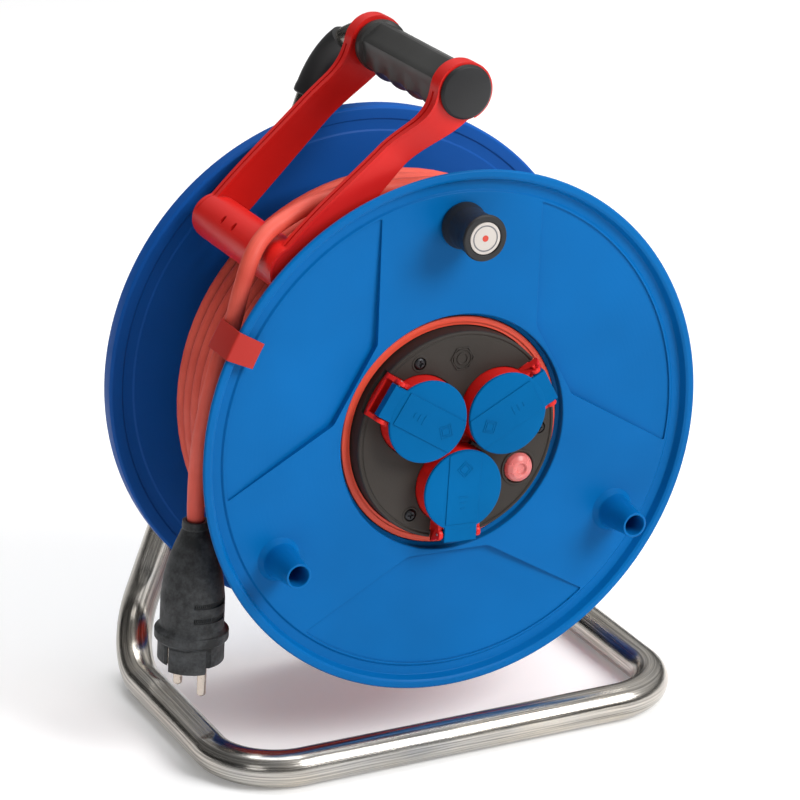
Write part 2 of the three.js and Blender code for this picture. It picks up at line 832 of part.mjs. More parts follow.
// The walls of one socket and its hinge, radial direction along +X.
function socketWalls() {
  const c = SOCKET_CIRCLE_R;
  const parts = [bar(COLLAR_R, COLLAR_Y, WELL_FLOOR_Y + 2.6, c, 0, 48)];
  // Each hinge ear slopes down from the pin to the back wall.
  const ear = [
    [c + 18.4, COVER_Y - 0.3],
    [c + 18.4, COLLAR_Y],
    [PIN_U, COLLAR_Y],
    [PIN_U + 3.0, COLLAR_Y + 2.2],
    [57.1, HINGE_WALL_Y],
    [57.1, COVER_Y - 0.3],
  ];
  for (const low of [-12.2, 9.8]) {
    parts.push(prism(ear, -low - 2.4, -low).rotate([-90, 0, 0]));
    parts.push(upright(3.0, low, low + 2.4, PIN_U, PIN_Y, 20));
  }
  parts.push(block([55.9, HINGE_WALL_Y, -12.2], [57.1, COVER_Y - 0.3, 12.2]));
  return union(parts);
}

// The hollows of one socket: the well, pin holes, earth slots and hinge bore.
function socketHollows() {
  const c = SOCKET_CIRCLE_R;
  const parts = [bar(WELL_R, COLLAR_Y - 1, WELL_FLOOR_Y, c, 0, 40)];
  parts.push(upright(1.05, -13, 13, PIN_U, PIN_Y, 16));
  for (const side of [-1, 1]) {
    const x = c + side * 18.2;
    parts.push(bar(2.55, WELL_FLOOR_Y - 1, 12, c, side * 9.5, 14));
    parts.push(block([x - 1.1, WELL_FLOOR_Y - 1, -3.6], [x + 1.1, 12, 3.6]));
  }
  return union(parts);
}

function socketBlock() {
  const rim = [];
  for (let k = 0; k < 24; k += 1) {
    rim.push(polar(54.6, k * 15));
  }
  let solid = prism(rim, 2.4, 5.0).add(bar(9.4, 1.6, WELL_FLOOR_Y + 2.6, 0, 0, 24));
  for (const deg of SOCKET_ANGLES) {
    solid = solid.add(aim(socketWalls(), deg));
  }
  for (const deg of SOCKET_ANGLES) {
    solid = solid.subtract(aim(socketHollows(), deg));
  }
  for (const deg of PANEL_SCREW_ANGLES) {
    const [x, z] = polar(PANEL_SCREW_R, deg);
    solid = solid.subtract(bar(2.2, 0, 10, x, z, 12));
  }
  solid = solid.subtract(bar(9.9, 0, 10, RESET_POS[0], RESET_POS[1], 28));
  solid = solid.subtract(bar(2.0, 0, 12, 0, 0, 12));
  return solid.subtract(bar(4.2, 0, 3.4, 0, 0, 16));
}

function lid(deg) {
  const c = SOCKET_CIRCLE_R;
  const disc = turned(
    [
      [0, LID_TOP_Y],
      [LID_R - 0.7, LID_TOP_Y],
      [LID_R, LID_TOP_Y + 0.7],
      [LID_R, LID_BOTTOM_Y],
      [19.2, LID_BOTTOM_Y],
      [19.2, LID_BOTTOM_Y + 2.2],
      [17.2, LID_BOTTOM_Y + 2.2],
      [17.2, LID_BOTTOM_Y],
      [0, LID_BOTTOM_Y],
    ],
    c,
    0,
    48,
  );
  const w = TONGUE_HALF_W;
  const tongue = block([c + 10, LID_TOP_Y, -w], [PIN_U + 1.2, LID_BOTTOM_Y, w]);
  const band = block([c - 20.0, LID_TOP_Y - 0.4, -w], [PIN_U + 1.0, LID_TOP_Y + 0.2, w]);
  let solid = union([disc, tongue, band]);
  for (const [z0, z1] of [[-w, -2.8], [2.8, w]]) {
    solid = solid.add(upright(2.1, z0, z1, PIN_U, PIN_Y, 20));
  }
  return aim(solid.subtract(upright(1.05, -12, 12, PIN_U, PIN_Y, 16)), deg);
}

function lidPin(deg) {
  return aim(upright(0.75, -12.0, 12.0, PIN_U, PIN_Y, 16), deg);
}

function lidSpring(deg) {
  const points = [];
  const turns = 3;
  for (let k = 0; k <= turns * 6; k += 1) {
    const angle = (k * Math.PI) / 3;
    const z = -2.0 + (4.0 * k) / (turns * 6);
    points.push(new THREE.Vector3(PIN_U + 1.3 * Math.cos(angle), PIN_Y + 1.3 * Math.sin(angle), z));
  }
  return aim(swept(points, 0.22, 4, [1, 0, 0]), deg);
}

// Brass rail joining one pole of the three sockets; side picks the pole.
function contactRail(side) {
  const inner = side > 0 ? 20.0 : 33.4;
  const outer = side > 0 ? 23.6 : 37.0;
  let solid = ring(inner, outer, 12.0, 13.2, 48);
  for (const deg of SOCKET_ANGLES) {
    const rail = (inner + outer) / 2;
    const r = Math.hypot(SOCKET_CIRCLE_R, 9.5);
    const at = deg + (side * Math.atan2(9.5, SOCKET_CIRCLE_R) * 180) / Math.PI;
    const [x, z] = polar(r, at);
    const tab = aim(block([Math.min(r, rail), 12.0, -2.0], [Math.max(r, rail), 13.2, 2.0]), at);
    solid = solid.add(tab).add(bar(3.7, 9.8, 20.0, x, z, 16));
  }
  for (const deg of SOCKET_ANGLES) {
    const r = Math.hypot(SOCKET_CIRCLE_R, 9.5);
    const at = deg + (side * Math.atan2(9.5, SOCKET_CIRCLE_R) * 180) / Math.PI;
    const [x, z] = polar(r, at);
    solid = solid.subtract(bar(2.6, 9, 21, x, z, 16));
  }
  return solid;
}

function earthBridge() {
  const c = SOCKET_CIRCLE_R;
  let solid = bar(7.6, 9.6, 10.6, 0, 0, 24);
  for (const deg of SOCKET_ANGLES) {
    const strip = block([2, 9.6, -3.0], [c + 18.9, 10.6, 3.0]);
    const near = block([c - 18.9, -4.0, -3.0], [c - 17.8, 10.6, 3.0]);
    const far = block([c + 17.8, -4.0, -3.0], [c + 18.9, 10.6, 3.0]);
    solid = solid.add(aim(union([strip, near, far]), deg));
  }
  return solid.subtract(bar(2.4, 8, 12, 0, 0, 12));
}

function resetCap() {
  const outline = [
    [0, -5.6],
    [2.6, -5.9],
    [3.4, -7.1],
    [5.2, -6.9],
    [7.2, -5.4],
    [8.0, -3.4],
    [8.0, 0.0],
    [9.3, 0.0],
    [9.3, 1.1],
    [0, 1.1],
  ];
  return turned(outline, RESET_POS[0], RESET_POS[1], 32);
}

function cutoutBody() {
  const [x, z] = RESET_POS;
  const box = block([-7.0, 14.5, -8.5], [7.0, 38.0, 8.5]).rotate([0, 33, 0]).translate([x, 0, z]);
  return box.add(bar(5.2, 5.4, 15.0, x, z, 24));
}

function terminalBlock() {
  let solid = block([-44.0, 20.5, -22.0], [-30.0, 34.0, 14.0]);
  for (let k = 0; k < 3; k += 1) {
    solid = solid.subtract(bar(2.2, 19.5, 30, -37.0, -15 + 11 * k, 12));
  }
  return solid;
}

function inletClamp() {
  let solid = block([44.6, 36.0, -9.0], [49.2, 56.0, 9.0]);
  solid = solid.subtract(radialBar(4.9, 42, 52, INLET_Y, 20));
  return aim(solid, INLET_ANGLE);
}

// ---------- assembly ----------

add('frame_tube', frameTube(), STEEL, 0.32, 0.9);
add('leg_plug', legPlug(), BLACK, 0.6, 0.0);
add('axle_bracket', axleBracket(), STEEL, 0.4, 0.9);
add('bracket_bolt_left', bracketBolt(-1), STEEL, 0.35, 0.9);
add('bracket_bolt_right', bracketBolt(1), STEEL, 0.35, 0.9);
add('bracket_nut_left', hexNut(10, 3.4, 157.8, 162.6, legPoint(-1, 0)[0], 0), STEEL, 0.35, 0.9);
add('bracket_nut_right', hexNut(10, 3.4, 157.8, 162.6, legPoint(1, 0)[0], 0), STEEL, 0.35, 0.9);
add('axle', axle(), STEEL, 0.35, 0.9);
add('axle_washer', ring(6.6, 12.0, 139.3, 141.3, 24), STEEL, 0.4, 0.9);
add('axle_nut', hexNut(19, 6.5, 141.6, 151.6, 0, 0), STEEL, 0.35, 0.9);
add('thrust_washer', ring(8.4, 15.0, 78.7, 80.1, 32), STEEL, 0.4, 0.9);
add('circlip', circlip(), STEEL, 0.35, 0.9);
add('axle_bush', axleBush(), 0xe6e2d8, 0.5, 0.0);
add('handle_cap', handleCap(), BLACK, 0.55, 0.0);
add('grip', grip(), BLACK, 0.55, 0.0);
add('bend_sleeve', bendSleeve(), BLACK, 0.5, 0.0);
add('cable_guide', guide(), RED, 0.4, 0.0);
add('front_flange', frontFlange(), BLUE, 0.38, 0.0);
add('winding_core', windingCore(), BLUE, 0.45, 0.0);
add('rear_flange', rearFlange(), BLUE, 0.38, 0.0);
[60, 180, 300].forEach((deg, i) => {
  add(`core_screw_${i + 1}`, coreScrew(deg), STEEL, 0.4, 0.9);
});
add('crank_knob', knob(), BLACK, 0.5, 0.0);
add('knob_screw', knobScrew(), STEEL, 0.4, 0.9);
add('knob_disc', knobCap(), 0xe4ddd4, 0.45, 0.0);
add('cable_clip', cableClip(), RED, 0.4, 0.0);
add('cable_winding', windingPack(), CORD, 0.6, 0.0);
add('cable_lead', cableLead(), CORD, 0.6, 0.0);
add('cable_tail', cableTail(), CORD, 0.6, 0.0);
add('plug_body', plugBody(), 0x26272a, 0.7, 0.0);
add('plug_pin_1', plugPin(9.5), 0xcfc4ae, 0.3, 0.9);
add('plug_pin_2', plugPin(-9.5), 0xcfc4ae, 0.3, 0.9);
add('plug_earth_1', plugEarth(1), 0xcfc4ae, 0.35, 0.9);
add('plug_earth_2', plugEarth(-1), 0xcfc4ae, 0.35, 0.9);
add('panel_housing', panelHousing(), RED, 0.4, 0.0);
add('panel_cover', panelCover(), 0x2b2a29, 0.6, 0.0);
PANEL_SCREW_ANGLES.forEach((deg, i) => {
  const [x, z] = polar(PANEL_SCREW_R, deg);
  add(`panel_screw_${i + 1}`, screw(x, z, 3.0, 1.6, COVER_Y - 0.8, 1.3, 30, 16), BLACK, 0.4, 0.6);
});
add('centre_screw', screw(0, 0, 3.5, 1.8, 1.2, 1.3, 36, 16), BLACK, 0.4, 0.6);
add('socket_block', socketBlock(), RED, 0.4, 0.0);
SOCKET_ANGLES.forEach((deg, i) => {
  add(`lid_${i + 1}`, lid(deg), BLUE, 0.4, 0.0);
  add(`lid_pin_${i + 1}`, lidPin(deg), STEEL, 0.25, 0.95);
  add(`lid_spring_${i + 1}`, lidSpring(deg), STEEL, 0.3, 0.95);
});
add('contact_rail_1', contactRail(1), BRASS, 0.35, 0.9);
add('contact_rail_2', contactRail(-1), BRASS, 0.35, 0.9);
add('earth_bridge', earthBridge(), BRASS, 0.35, 0.9);
add('reset_cap', resetCap(), 0xd9807f, 0.35, 0.0);
add('cutout_body', cutoutBody(), BLACK, 0.6, 0.0);
add('terminal_block', terminalBlock(), 0xe6e2d8, 0.55, 0.0);
add('inlet_clamp', inletClamp(), BLACK, 0.6, 0.0);

export default group;
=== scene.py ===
import json
import math
import random

import bmesh
import bpy
from mathutils import Matrix, Vector


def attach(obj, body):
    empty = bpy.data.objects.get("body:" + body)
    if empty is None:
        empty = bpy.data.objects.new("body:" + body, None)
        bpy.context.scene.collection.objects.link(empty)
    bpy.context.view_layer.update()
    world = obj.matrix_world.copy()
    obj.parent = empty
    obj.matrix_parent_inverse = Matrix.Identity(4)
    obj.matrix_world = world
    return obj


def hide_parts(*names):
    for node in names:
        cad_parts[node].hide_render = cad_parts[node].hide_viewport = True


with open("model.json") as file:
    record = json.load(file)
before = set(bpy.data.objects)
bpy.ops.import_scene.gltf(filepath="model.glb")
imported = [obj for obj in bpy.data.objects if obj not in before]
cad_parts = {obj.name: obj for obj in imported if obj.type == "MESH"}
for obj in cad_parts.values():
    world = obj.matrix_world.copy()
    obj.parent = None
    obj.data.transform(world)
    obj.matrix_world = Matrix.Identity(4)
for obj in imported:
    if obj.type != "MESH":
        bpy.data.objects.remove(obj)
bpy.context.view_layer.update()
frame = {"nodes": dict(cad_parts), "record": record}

# Sizes below are millimetres in drum coordinates: origin on the drum axis in the plane of
# the front rim, X to the right, Y to the rear, Z up. at() turns them into the frame's metres.
MM = 0.001
BEHAVIOUR = frame["record"]["behaviour"]
JOINTS = {joint["name"]: joint for joint in BEHAVIOUR["joints"]}
BODY_OF = {node: body for body, nodes in BEHAVIOUR["bodies"].items() for node in nodes}
AXIS_Z = JOINTS["drum_spin"]["pos_m"][2]
RIM_Y = JOINTS["knob_spin"]["pos_m"][1]
TO_FRAME = Matrix.Translation((0, RIM_Y, AXIS_Z)) @ Matrix.Scale(MM, 4)


def at(x, y, z):
    return TO_FRAME @ Vector((x, y, z))


def polar(r, deg):
    return r * math.cos(math.radians(deg)), r * math.sin(math.radians(deg))


def smoothstep(t):
    t = min(max(t, 0.0), 1.0)
    return t * t * (3 - 2 * t)


# ---------- driving sizes ----------

FOOT_Z, FOOT_HALF_W, FOOT_FRONT_Y, FOOT_REAR_Y = -166.0, 130.8, -17.0, 149.2
HANDLE_Z, HANDLE_REAR_Y, HANDLE_FRONT_Y = 186.0, 144.7, -4.4
HANDLE_BEND_R, FOOT_BEND_R, TUBE_R = 42.0, 37.0, 10.0
RIGHT_LEG_TOP_Z = 26.0
DRUM_R, DRUM_LEN, REAR_PLATE_Y = 145.0, 131.9, 122.0
PLATE_FRONT_Y, PLATE_BACK_Y, OPENING_R = 1.2, 7.0, 65.0
CORE_IN_R, CORE_OUT_R = 68.0, 70.5
POST_CIRCLE_R, POST_ANGLES, POST_TIP_Y = 113.8, (88.5, 208.5, 328.5), -24.0
FIELD_ANGLES, FIELD_IN, FIELD_OUT, PETAL_HALF_W = (148.5, 268.5, 28.5), 66.8, 130.0, 46.0
SOCKET_ANGLES, SOCKET_CIRCLE_R = (147.0, 27.0, 267.0), 26.8
PANEL_SCREW_R, PANEL_SCREW_ANGLES = 48.5, (117.5, 236.5, 356.5)
PIN_U, PIN_Y, TONGUE_HALF_W = 51.4, -10.6, 9.3
RESET_X, RESET_Z = 36.4, -23.6
GUIDE_BAR = (-88.6, 98.3)
INLET_Y, INLET_ANGLE = 46.0, 205.0
CABLE_R = 4.5


# ---------- object and node helpers ----------

def linked(name, data):
    """A new object with this data, in the scene."""
    obj = bpy.data.objects.new(name, data)
    bpy.context.collection.objects.link(obj)
    return obj


def new_node(tree, kind, **values):
    node = tree.nodes.new("ShaderNode" + kind)
    set_inputs(node, **values)
    return node


def set_inputs(node, **values):
    """Sets a node's sockets; an underscore stands for the space in a socket's name."""
    for socket, value in values.items():
        node.inputs[socket.replace("_", " ")].default_value = value


def multiply(tree, a, b, factor):
    """Colour a darkened by colour b."""
    mix = new_node(tree, "Mix")
    mix.data_type, mix.blend_type = "RGBA", "MULTIPLY"
    set_inputs(mix, Factor=factor)
    tree.links.new(a, mix.inputs["A"])
    tree.links.new(b, mix.inputs["B"])
    return mix.outputs["Result"]


# ---------- camera and light ----------

def camera():
    azimuth, elevation, roll = (math.radians(v) for v in (26.215, 20.542, 0.782))
    distance, target = 1799.97, Vector((-32.1, 0.0, 23.6))
    back = Vector((-math.sin(azimuth) * math.cos(elevation), -math.cos(azimuth) * math.cos(elevation),
                   math.sin(elevation)))
    right = Vector((math.cos(azimuth), -math.sin(azimuth), 0.0))
    up = back.cross(right)
    tilted = right * math.cos(roll) + up * math.sin(roll)
    up = back.cross(tilted)
    data = bpy.data.cameras.new("camera")
    data.sensor_width = 36.0
    data.lens = 156.73
    data.clip_start, data.clip_end = 0.1, 50.0
    cam = linked("camera", data)
    rotation = Matrix((tilted, up, back)).transposed().to_4x4()
    cam.matrix_world = Matrix.Translation(at(*(target + back * distance))) @ rotation
    bpy.context.scene.camera = cam


def area_light(name, place, aim, size, power):
    data = bpy.data.lights.new(name, "AREA")
    data.shape = "RECTANGLE"
    data.size = data.size_y = size
    data.energy = power
    lamp = linked(name, data)
    lamp.location = place
    lamp.rotation_euler = (Vector(aim) - Vector(place)).to_track_quat("-Z", "Y").to_euler()


def world_light():
    """A pale sky with a dark band near the horizon, darker towards -X."""
    world = bpy.data.worlds.new("studio")
    bpy.context.scene.world = world
    world.use_nodes = True
    tree = world.node_tree
    tree.nodes.clear()
    out = new_node(tree, "OutputWorld")
    back = new_node(tree, "Background", Strength=0.62)
    coords = new_node(tree, "TexCoord")
    split = new_node(tree, "SeparateXYZ")
    height = new_node(tree, "ValToRGB")
    sideways = new_node(tree, "MapRange", From_Min=-0.8, From_Max=0.5, To_Min=0.18, To_Max=1.05)
    tree.links.new(coords.outputs["Generated"], split.inputs[0])
    tree.links.new(split.outputs["Z"], height.inputs["Fac"])
    tree.links.new(split.outputs["X"], sideways.inputs["Value"])
    stops = [(0.0, 0.45), (0.03, 0.10), (0.20, 0.07), (0.34, 0.8), (0.62, 1.0), (1.0, 1.0)]
    while len(height.color_ramp.elements) < len(stops):
        height.color_ramp.elements.new(0.5)
    for element, (place, grey) in zip(height.color_ramp.elements, stops):
        element.position = place
        element.color = (grey, grey, grey, 1)
    sky = multiply(tree, height.outputs["Color"], sideways.outputs["Result"], 1.0)
    tree.links.new(sky, back.inputs["Color"])
    tree.links.new(back.outputs[0], out.inputs["Surface"])


def stage():
    mesh = bpy.data.meshes.new("studio_floor")
    mesh.from_pydata([(-6, -6, 0), (6, -6, 0), (6, 6, 0), (-6, 6, 0)], [], [(0, 1, 2, 3)])
    floor = linked("studio_floor", mesh)
    paper = node_material("studio_paper", (0.93, 0.93, 0.93), 0.9, Specular_IOR_Level=0.1,
                          Emission_Color=(1, 1, 1, 1), Emission_Strength=0.16)[0]
    floor.data.materials.append(paper)
    floor.location.z = -0.0004


# ---------- materials ----------

def node_material(name, colour, roughness, metallic=0.0, **sockets):
    material = bpy.data.materials.new(name)
    material.use_nodes = True
    tree = material.node_tree
    shader = tree.nodes["Principled BSDF"]
    set_inputs(shader, Base_Color=(*colour, 1), Roughness=roughness, Metallic=metallic, **sockets)
    return material, tree, shader


def shade(colour, k):
    return tuple(min(1, v * k) for v in colour)


def noise(tree, scale, detail=4.0, stretch=(1, 1, 1), uv=False, rough=0.55):
    coords = new_node(tree, "TexCoord")
    mapping = new_node(tree, "Mapping", Scale=stretch)
    texture = new_node(tree, "TexNoise", Scale=scale, Detail=detail, Roughness=rough)
    tree.links.new(coords.outputs["UV" if uv else "Object"], mapping.inputs["Vector"])
    tree.links.new(mapping.outputs[0], texture.inputs["Vector"])
    return texture.outputs["Fac"]


def ramp(tree, source, low, high, start=0.3, end=0.7):
    node = new_node(tree, "ValToRGB")
    node.color_ramp.elements[0].position = start
    node.color_ramp.elements[1].position = end
    for element, value in zip(node.color_ramp.elements, (low, high)):
        element.color = (*value, 1) if isinstance(value, tuple) else (value, value, value, 1)
    tree.links.new(source, node.inputs["Fac"])
    return node.outputs["Color"]


def drive(tree, shader, socket, source, low, high, start=0.3, end=0.7):
    """The source, ramped from low to high, into one of the shader's sockets."""
    tree.links.new(ramp(tree, source, low, high, start, end), shader.inputs[socket])


def bump(tree, shader, *layers):
    """(source, distance, strength) layers over normals that are rounded at the edges."""
    soft = new_node(tree, "Bevel", Radius=0.0004)
    soft.samples = 4
    previous = soft.outputs["Normal"]
    for source, distance, strength in layers:
        node = new_node(tree, "Bump", Distance=distance, Strength=strength)
        tree.links.new(source, node.inputs["Height"])
        tree.links.new(previous, node.inputs["Normal"])
        previous = node.outputs["Normal"]
    tree.links.new(previous, shader.inputs["Normal"])


def plastic(name, colour, roughness, grain=0.00002, grain_scale=900, cloud=0.12, spread=0.08, **sockets):
    """Moulded plastic: slow colour clouds, uneven gloss and a fine grain."""
    sockets.setdefault("Specular_IOR_Level", 0.24)
    material, tree, shader = node_material(name, colour, roughness, **sockets)
    drive(tree, shader, "Base Color", noise(tree, 14, 3), shade(colour, 1 - cloud), shade(colour, 1 + cloud))
    drive(tree, shader, "Roughness", noise(tree, 45, 6), roughness - spread, roughness + spread, 0.25, 0.8)
    bump(tree, shader, (noise(tree, 60, 2), 0.0004, 0.12), (noise(tree, grain_scale, 2), grain, 0.6))
    return material


def drum_blue(name, colour, roughness):
    """Blue moulded plastic with the faint rings that a turned mould leaves."""
    material, tree, shader = node_material(name, colour, roughness, Specular_IOR_Level=0.07)
    drive(tree, shader, "Base Color", noise(tree, 9, 3), shade(colour, 0.9), shade(colour, 1.12))
    coords = new_node(tree, "TexCoord")
    flat = new_node(tree, "Mapping", Scale=(1, 0, 1), Location=(0, 0, -AXIS_Z))
    rings = new_node(tree, "TexWave", Scale=130, Distortion=1.2, Detail=3, Detail_Scale=0.6)
    rings.wave_type = "RINGS"
    rings.rings_direction = "SPHERICAL"
    tree.links.new(coords.outputs["Object"], flat.inputs["Vector"])
    tree.links.new(flat.outputs[0], rings.inputs["Vector"])
    drive(tree, shader, "Roughness", noise(tree, 30, 6), roughness - 0.07, roughness + 0.09, 0.3, 0.75)
    bump(tree, shader, (noise(tree, 22, 2), 0.0012, 0.10), (rings.outputs["Fac"], 0.00002, 0.35),
         (noise(tree, 1400, 2), 0.00001, 0.5))
    return material


def drawn_steel(name, colour, roughness):
    """Bright tube: long fine draw marks, cloudy zinc and a few handling marks."""
    material, tree, shader = node_material(name, colour, roughness, 1.0)
    marks = noise(tree, 1.0, 4, (64, 0.9, 1), uv=True, rough=0.7)
    fine = noise(tree, 1.0, 3, (240, 2.5, 1), uv=True, rough=0.7)
    warm = tuple(v * k for v, k in zip(colour, (1.05, 1.0, 0.92)))
    cool = tuple(v * k for v, k in zip(colour, (0.86, 0.88, 0.90)))
    zinc = multiply(tree, ramp(tree, noise(tree, 26, 5), cool, warm),
                    ramp(tree, marks, 0.34, 1.0, 0.38, 0.58), 0.95)
    tree.links.new(zinc, shader.inputs["Base Color"])
    drive(tree, shader, "Roughness", fine, roughness - 0.08, roughness + 0.12, 0.25, 0.8)
    bump(tree, shader, (marks, 0.00008, 0.6), (fine, 0.00002, 0.7))
    return material


def plated(name, colour, roughness, uneven=0.22):
    """Small plated hardware."""
    material, tree, shader = node_material(name, colour, roughness, 1.0)
    drive(tree, shader, "Base Color", noise(tree, 120, 5), shade(colour, 1 - uneven), colour)
    drive(tree, shader, "Roughness", noise(tree, 400, 4), roughness - 0.06, roughness + uneven / 2)
    bump(tree, shader, (noise(tree, 500, 3), 0.00001, 0.4))
    return material


def sheath(name):
    """Cable sheath: faint long ribs from the die, a dull bloom, and painted shade between the turns."""
    material, tree, shader = node_material(name, (0.66, 0.088, 0.055), 0.55, Specular_IOR_Level=0.3)
    bloom = ramp(tree, noise(tree, 40, 5), (0.62, 0.070, 0.045), (0.72, 0.105, 0.07))
    along = noise(tree, 1.0, 4, (46, 5, 1), uv=True)
    ribbed = multiply(tree, bloom, ramp(tree, along, 0.82, 1.0, 0.3, 0.65), 0.5)
    # Ambient occlusion darkens the colour where the turns crowd together: painted shade in the gaps between
    # them.
    painted_gap_shade = new_node(tree, "AmbientOcclusion", Distance=0.005)
    painted_gap_shade.samples = 6
    with_gap_shade = multiply(tree, ribbed, ramp(tree, painted_gap_shade.outputs["AO"], 0.22, 1.0, 0.25, 0.75), 0.85)
    tree.links.new(with_gap_shade, shader.inputs["Base Color"])
    drive(tree, shader, "Roughness", noise(tree, 90, 5), 0.46, 0.66)
    bump(tree, shader, (along, 0.00012, 0.35), (noise(tree, 1500, 2), 0.00002, 0.5))
    return material


def rubber(name, colour, roughness):
    """Moulded rubber with dusty patches."""
    material, tree, shader = node_material(name, colour, roughness, Specular_IOR_Level=0.35)
    grey = tuple(v * 3.4 + 0.012 for v in colour)
    drive(tree, shader, "Base Color", noise(tree, 70, 9, rough=0.78), shade(colour, 0.55), grey, 0.40, 0.68)
    drive(tree, shader, "Roughness", noise(tree, 130, 5), roughness - 0.1, roughness + 0.1)
    bump(tree, shader, (noise(tree, 200, 5), 0.0002, 0.4), (noise(tree, 1800, 2), 0.00004, 0.6))
    return material


BLUE = drum_blue("blue_moulding", (0.0008, 0.112, 0.345), 0.36)
LID_BLUE = plastic("lid_blue", (0.0003, 0.102, 0.285), 0.46, Specular_IOR_Level=0.03)
RED = plastic("red_moulding", (0.62, 0.014, 0.011), 0.36, cloud=0.06)
CLIP_RED = plastic("clip_red", (0.40, 0.020, 0.014), 0.5, cloud=0.1)
RED_PANEL = plastic("red_panel", (0.80, 0.085, 0.045), 0.38, cloud=0.05)
# The rear disc is the same blue plastic as the front one, darker and more navy: painted shade for the shadow
# of the front disc and the winding.
BLUE_REAR_PAINTED_SHADE = drum_blue("blue_moulding_rear_painted_shade", (0.006, 0.078, 0.33), 0.42)
BLACK = plastic("black_moulding", (0.020, 0.020, 0.021), 0.42, cloud=0.25)
GRIP_BLACK = plastic("grip_black", (0.034, 0.034, 0.033), 0.38, cloud=0.3, spread=0.06)
PANEL = plastic("panel_black", (0.030, 0.025, 0.021), 0.58, grain=0.0001, grain_scale=700, cloud=0.2)
PLUG_RUBBER = rubber("plug_rubber", (0.014, 0.015, 0.016), 0.6)
NATURAL = plastic("natural_plastic", (0.78, 0.75, 0.67), 0.5)
OFF_WHITE = plastic("disc_off_white", (0.52, 0.475, 0.44), 0.45)
GREY_PRINT = plastic("disc_grey_print", (0.16, 0.16, 0.17), 0.5)
RED_PRINT = plastic("disc_red_print", (0.55, 0.06, 0.04), 0.5)
TUBE = drawn_steel("tube_zinc", (0.64, 0.615, 0.58), 0.21)
ZINC = plated("zinc_hardware", (0.66, 0.66, 0.64), 0.30)
BLACK_STEEL = plated("black_screws", (0.045, 0.045, 0.048), 0.38)
NICKEL = plated("nickel_pins", (0.52, 0.45, 0.39), 0.26, 0.08)
BRASS = plated("contact_brass", (0.78, 0.56, 0.26), 0.28)
SHEATH = sheath("cable_sheath")
CAP_PINK = plastic("reset_cap_pink", (0.80, 0.235, 0.22), 0.30, cloud=0.05, Transmission_Weight=0.25,
                   Subsurface_Weight=0.35, Subsurface_Radius=(0.006, 0.002, 0.002))


# ---------- mesh helpers ----------

UV_PER_MM = 0.01


def piece(name, bm, material, node, sharp=32.0, replace=True):
    """Turns a solid in drum millimetres into a piece with the body of a CAD node.

    It stands for that node, unless it is only a mark on it.
    """
    mesh = bpy.data.meshes.new(name)
    bm.to_mesh(mesh)
    bm.free()
    mesh.transform(TO_FRAME)
    mesh.update()
    for polygon in mesh.polygons:
        polygon.use_smooth = True
    mesh.set_sharp_from_angle(angle=math.radians(sharp))
    mesh.materials.append(material)
    obj = linked(name, mesh)
    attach(obj, BODY_OF[node])
    if replace:
        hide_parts(node)
    return obj


def temporary(bm):
    mesh = bpy.data.meshes.new("temporary")
    bm.to_mesh(mesh)
    bm.free()
    return linked("temporary", mesh)


def discard(obj):
    mesh = obj.data
    bpy.data.objects.remove(obj)
    bpy.data.meshes.remove(mesh)


def evaluated_bm(obj):
    graph = bpy.context.evaluated_depsgraph_get()
    mesh = bpy.data.meshes.new_from_object(obj.evaluated_get(graph))
    bm = bmesh.new()
    bm.from_mesh(mesh)
    bpy.data.meshes.remove(mesh)
    discard(obj)
    return bm


def combined(bm, tools, operation):
    """bm joined with, cut by or kept inside tool meshes, each a closed solid."""
    base = temporary(bm)
    helpers = [temporary(tool) for tool in tools]
    for helper in helpers:
        modifier = base.modifiers.new("join", "BOOLEAN")
        modifier.operation = operation
        modifier.solver = "EXACT"
        modifier.object = helper
    result = evaluated_bm(base)
    for helper in helpers:
        discard(helper)
    return result


def cut(bm, *tools):
    return combined(bm, tools, "DIFFERENCE")


def join(bm, *tools):
    return combined(bm, tools, "UNION")


def bevelled(bm, width):
    """bm with its sharp edges rounded."""
    bmesh.ops.remove_doubles(bm, verts=bm.verts, dist=0.002)
    bmesh.ops.dissolve_degenerate(bm, edges=bm.edges, dist=0.002)
    obj = temporary(bm)
    modifier = obj.modifiers.new("round", "BEVEL")
    modifier.width = width
    modifier.segments = 2
    modifier.limit_method = "ANGLE"
    modifier.angle_limit = math.radians(35)
    modifier.use_clamp_overlap = True
    modifier.miter_outer = "MITER_ARC"
    return evaluated_bm(obj)


def rounded(points, steps=4):
    """A closed outline of (a, b) or (a, b, fillet) points, its corners turned into arcs."""
    result = []
    count = len(points)
    for i, point in enumerate(points):
        p = Vector(point[:2])
        radius = point[2] if len(point) > 2 else 0.0
        if radius <= 0:
            result.append(tuple(p))
            continue
        to_last = (Vector(points[i - 1][:2]) - p)
        to_next = (Vector(points[(i + 1) % count][:2]) - p)
        a, b = to_last.normalized(), to_next.normalized()
        half = a.angle(b) / 2
        reach = min(radius / math.tan(half), to_last.length * 0.49, to_next.length * 0.49)
        radius = reach * math.tan(half)
        centre = p + (a + b).normalized() * (radius / math.sin(half))
        start, end = p + a * reach - centre, p + b * reach - centre
        turn = start.angle_signed(end)
        for k in range(steps + 1):
            angle = -turn * k / steps
            c, s = math.cos(angle), math.sin(angle)
            result.append((centre.x + start.x * c - start.y * s, centre.y + start.x * s + start.y * c))
    return result


def anticlockwise(outline):
    area = sum(a[0] * b[1] - b[0] * a[1] for a, b in zip(outline, outline[1:] + outline[:1]))
    return outline if area > 0 else outline[::-1]


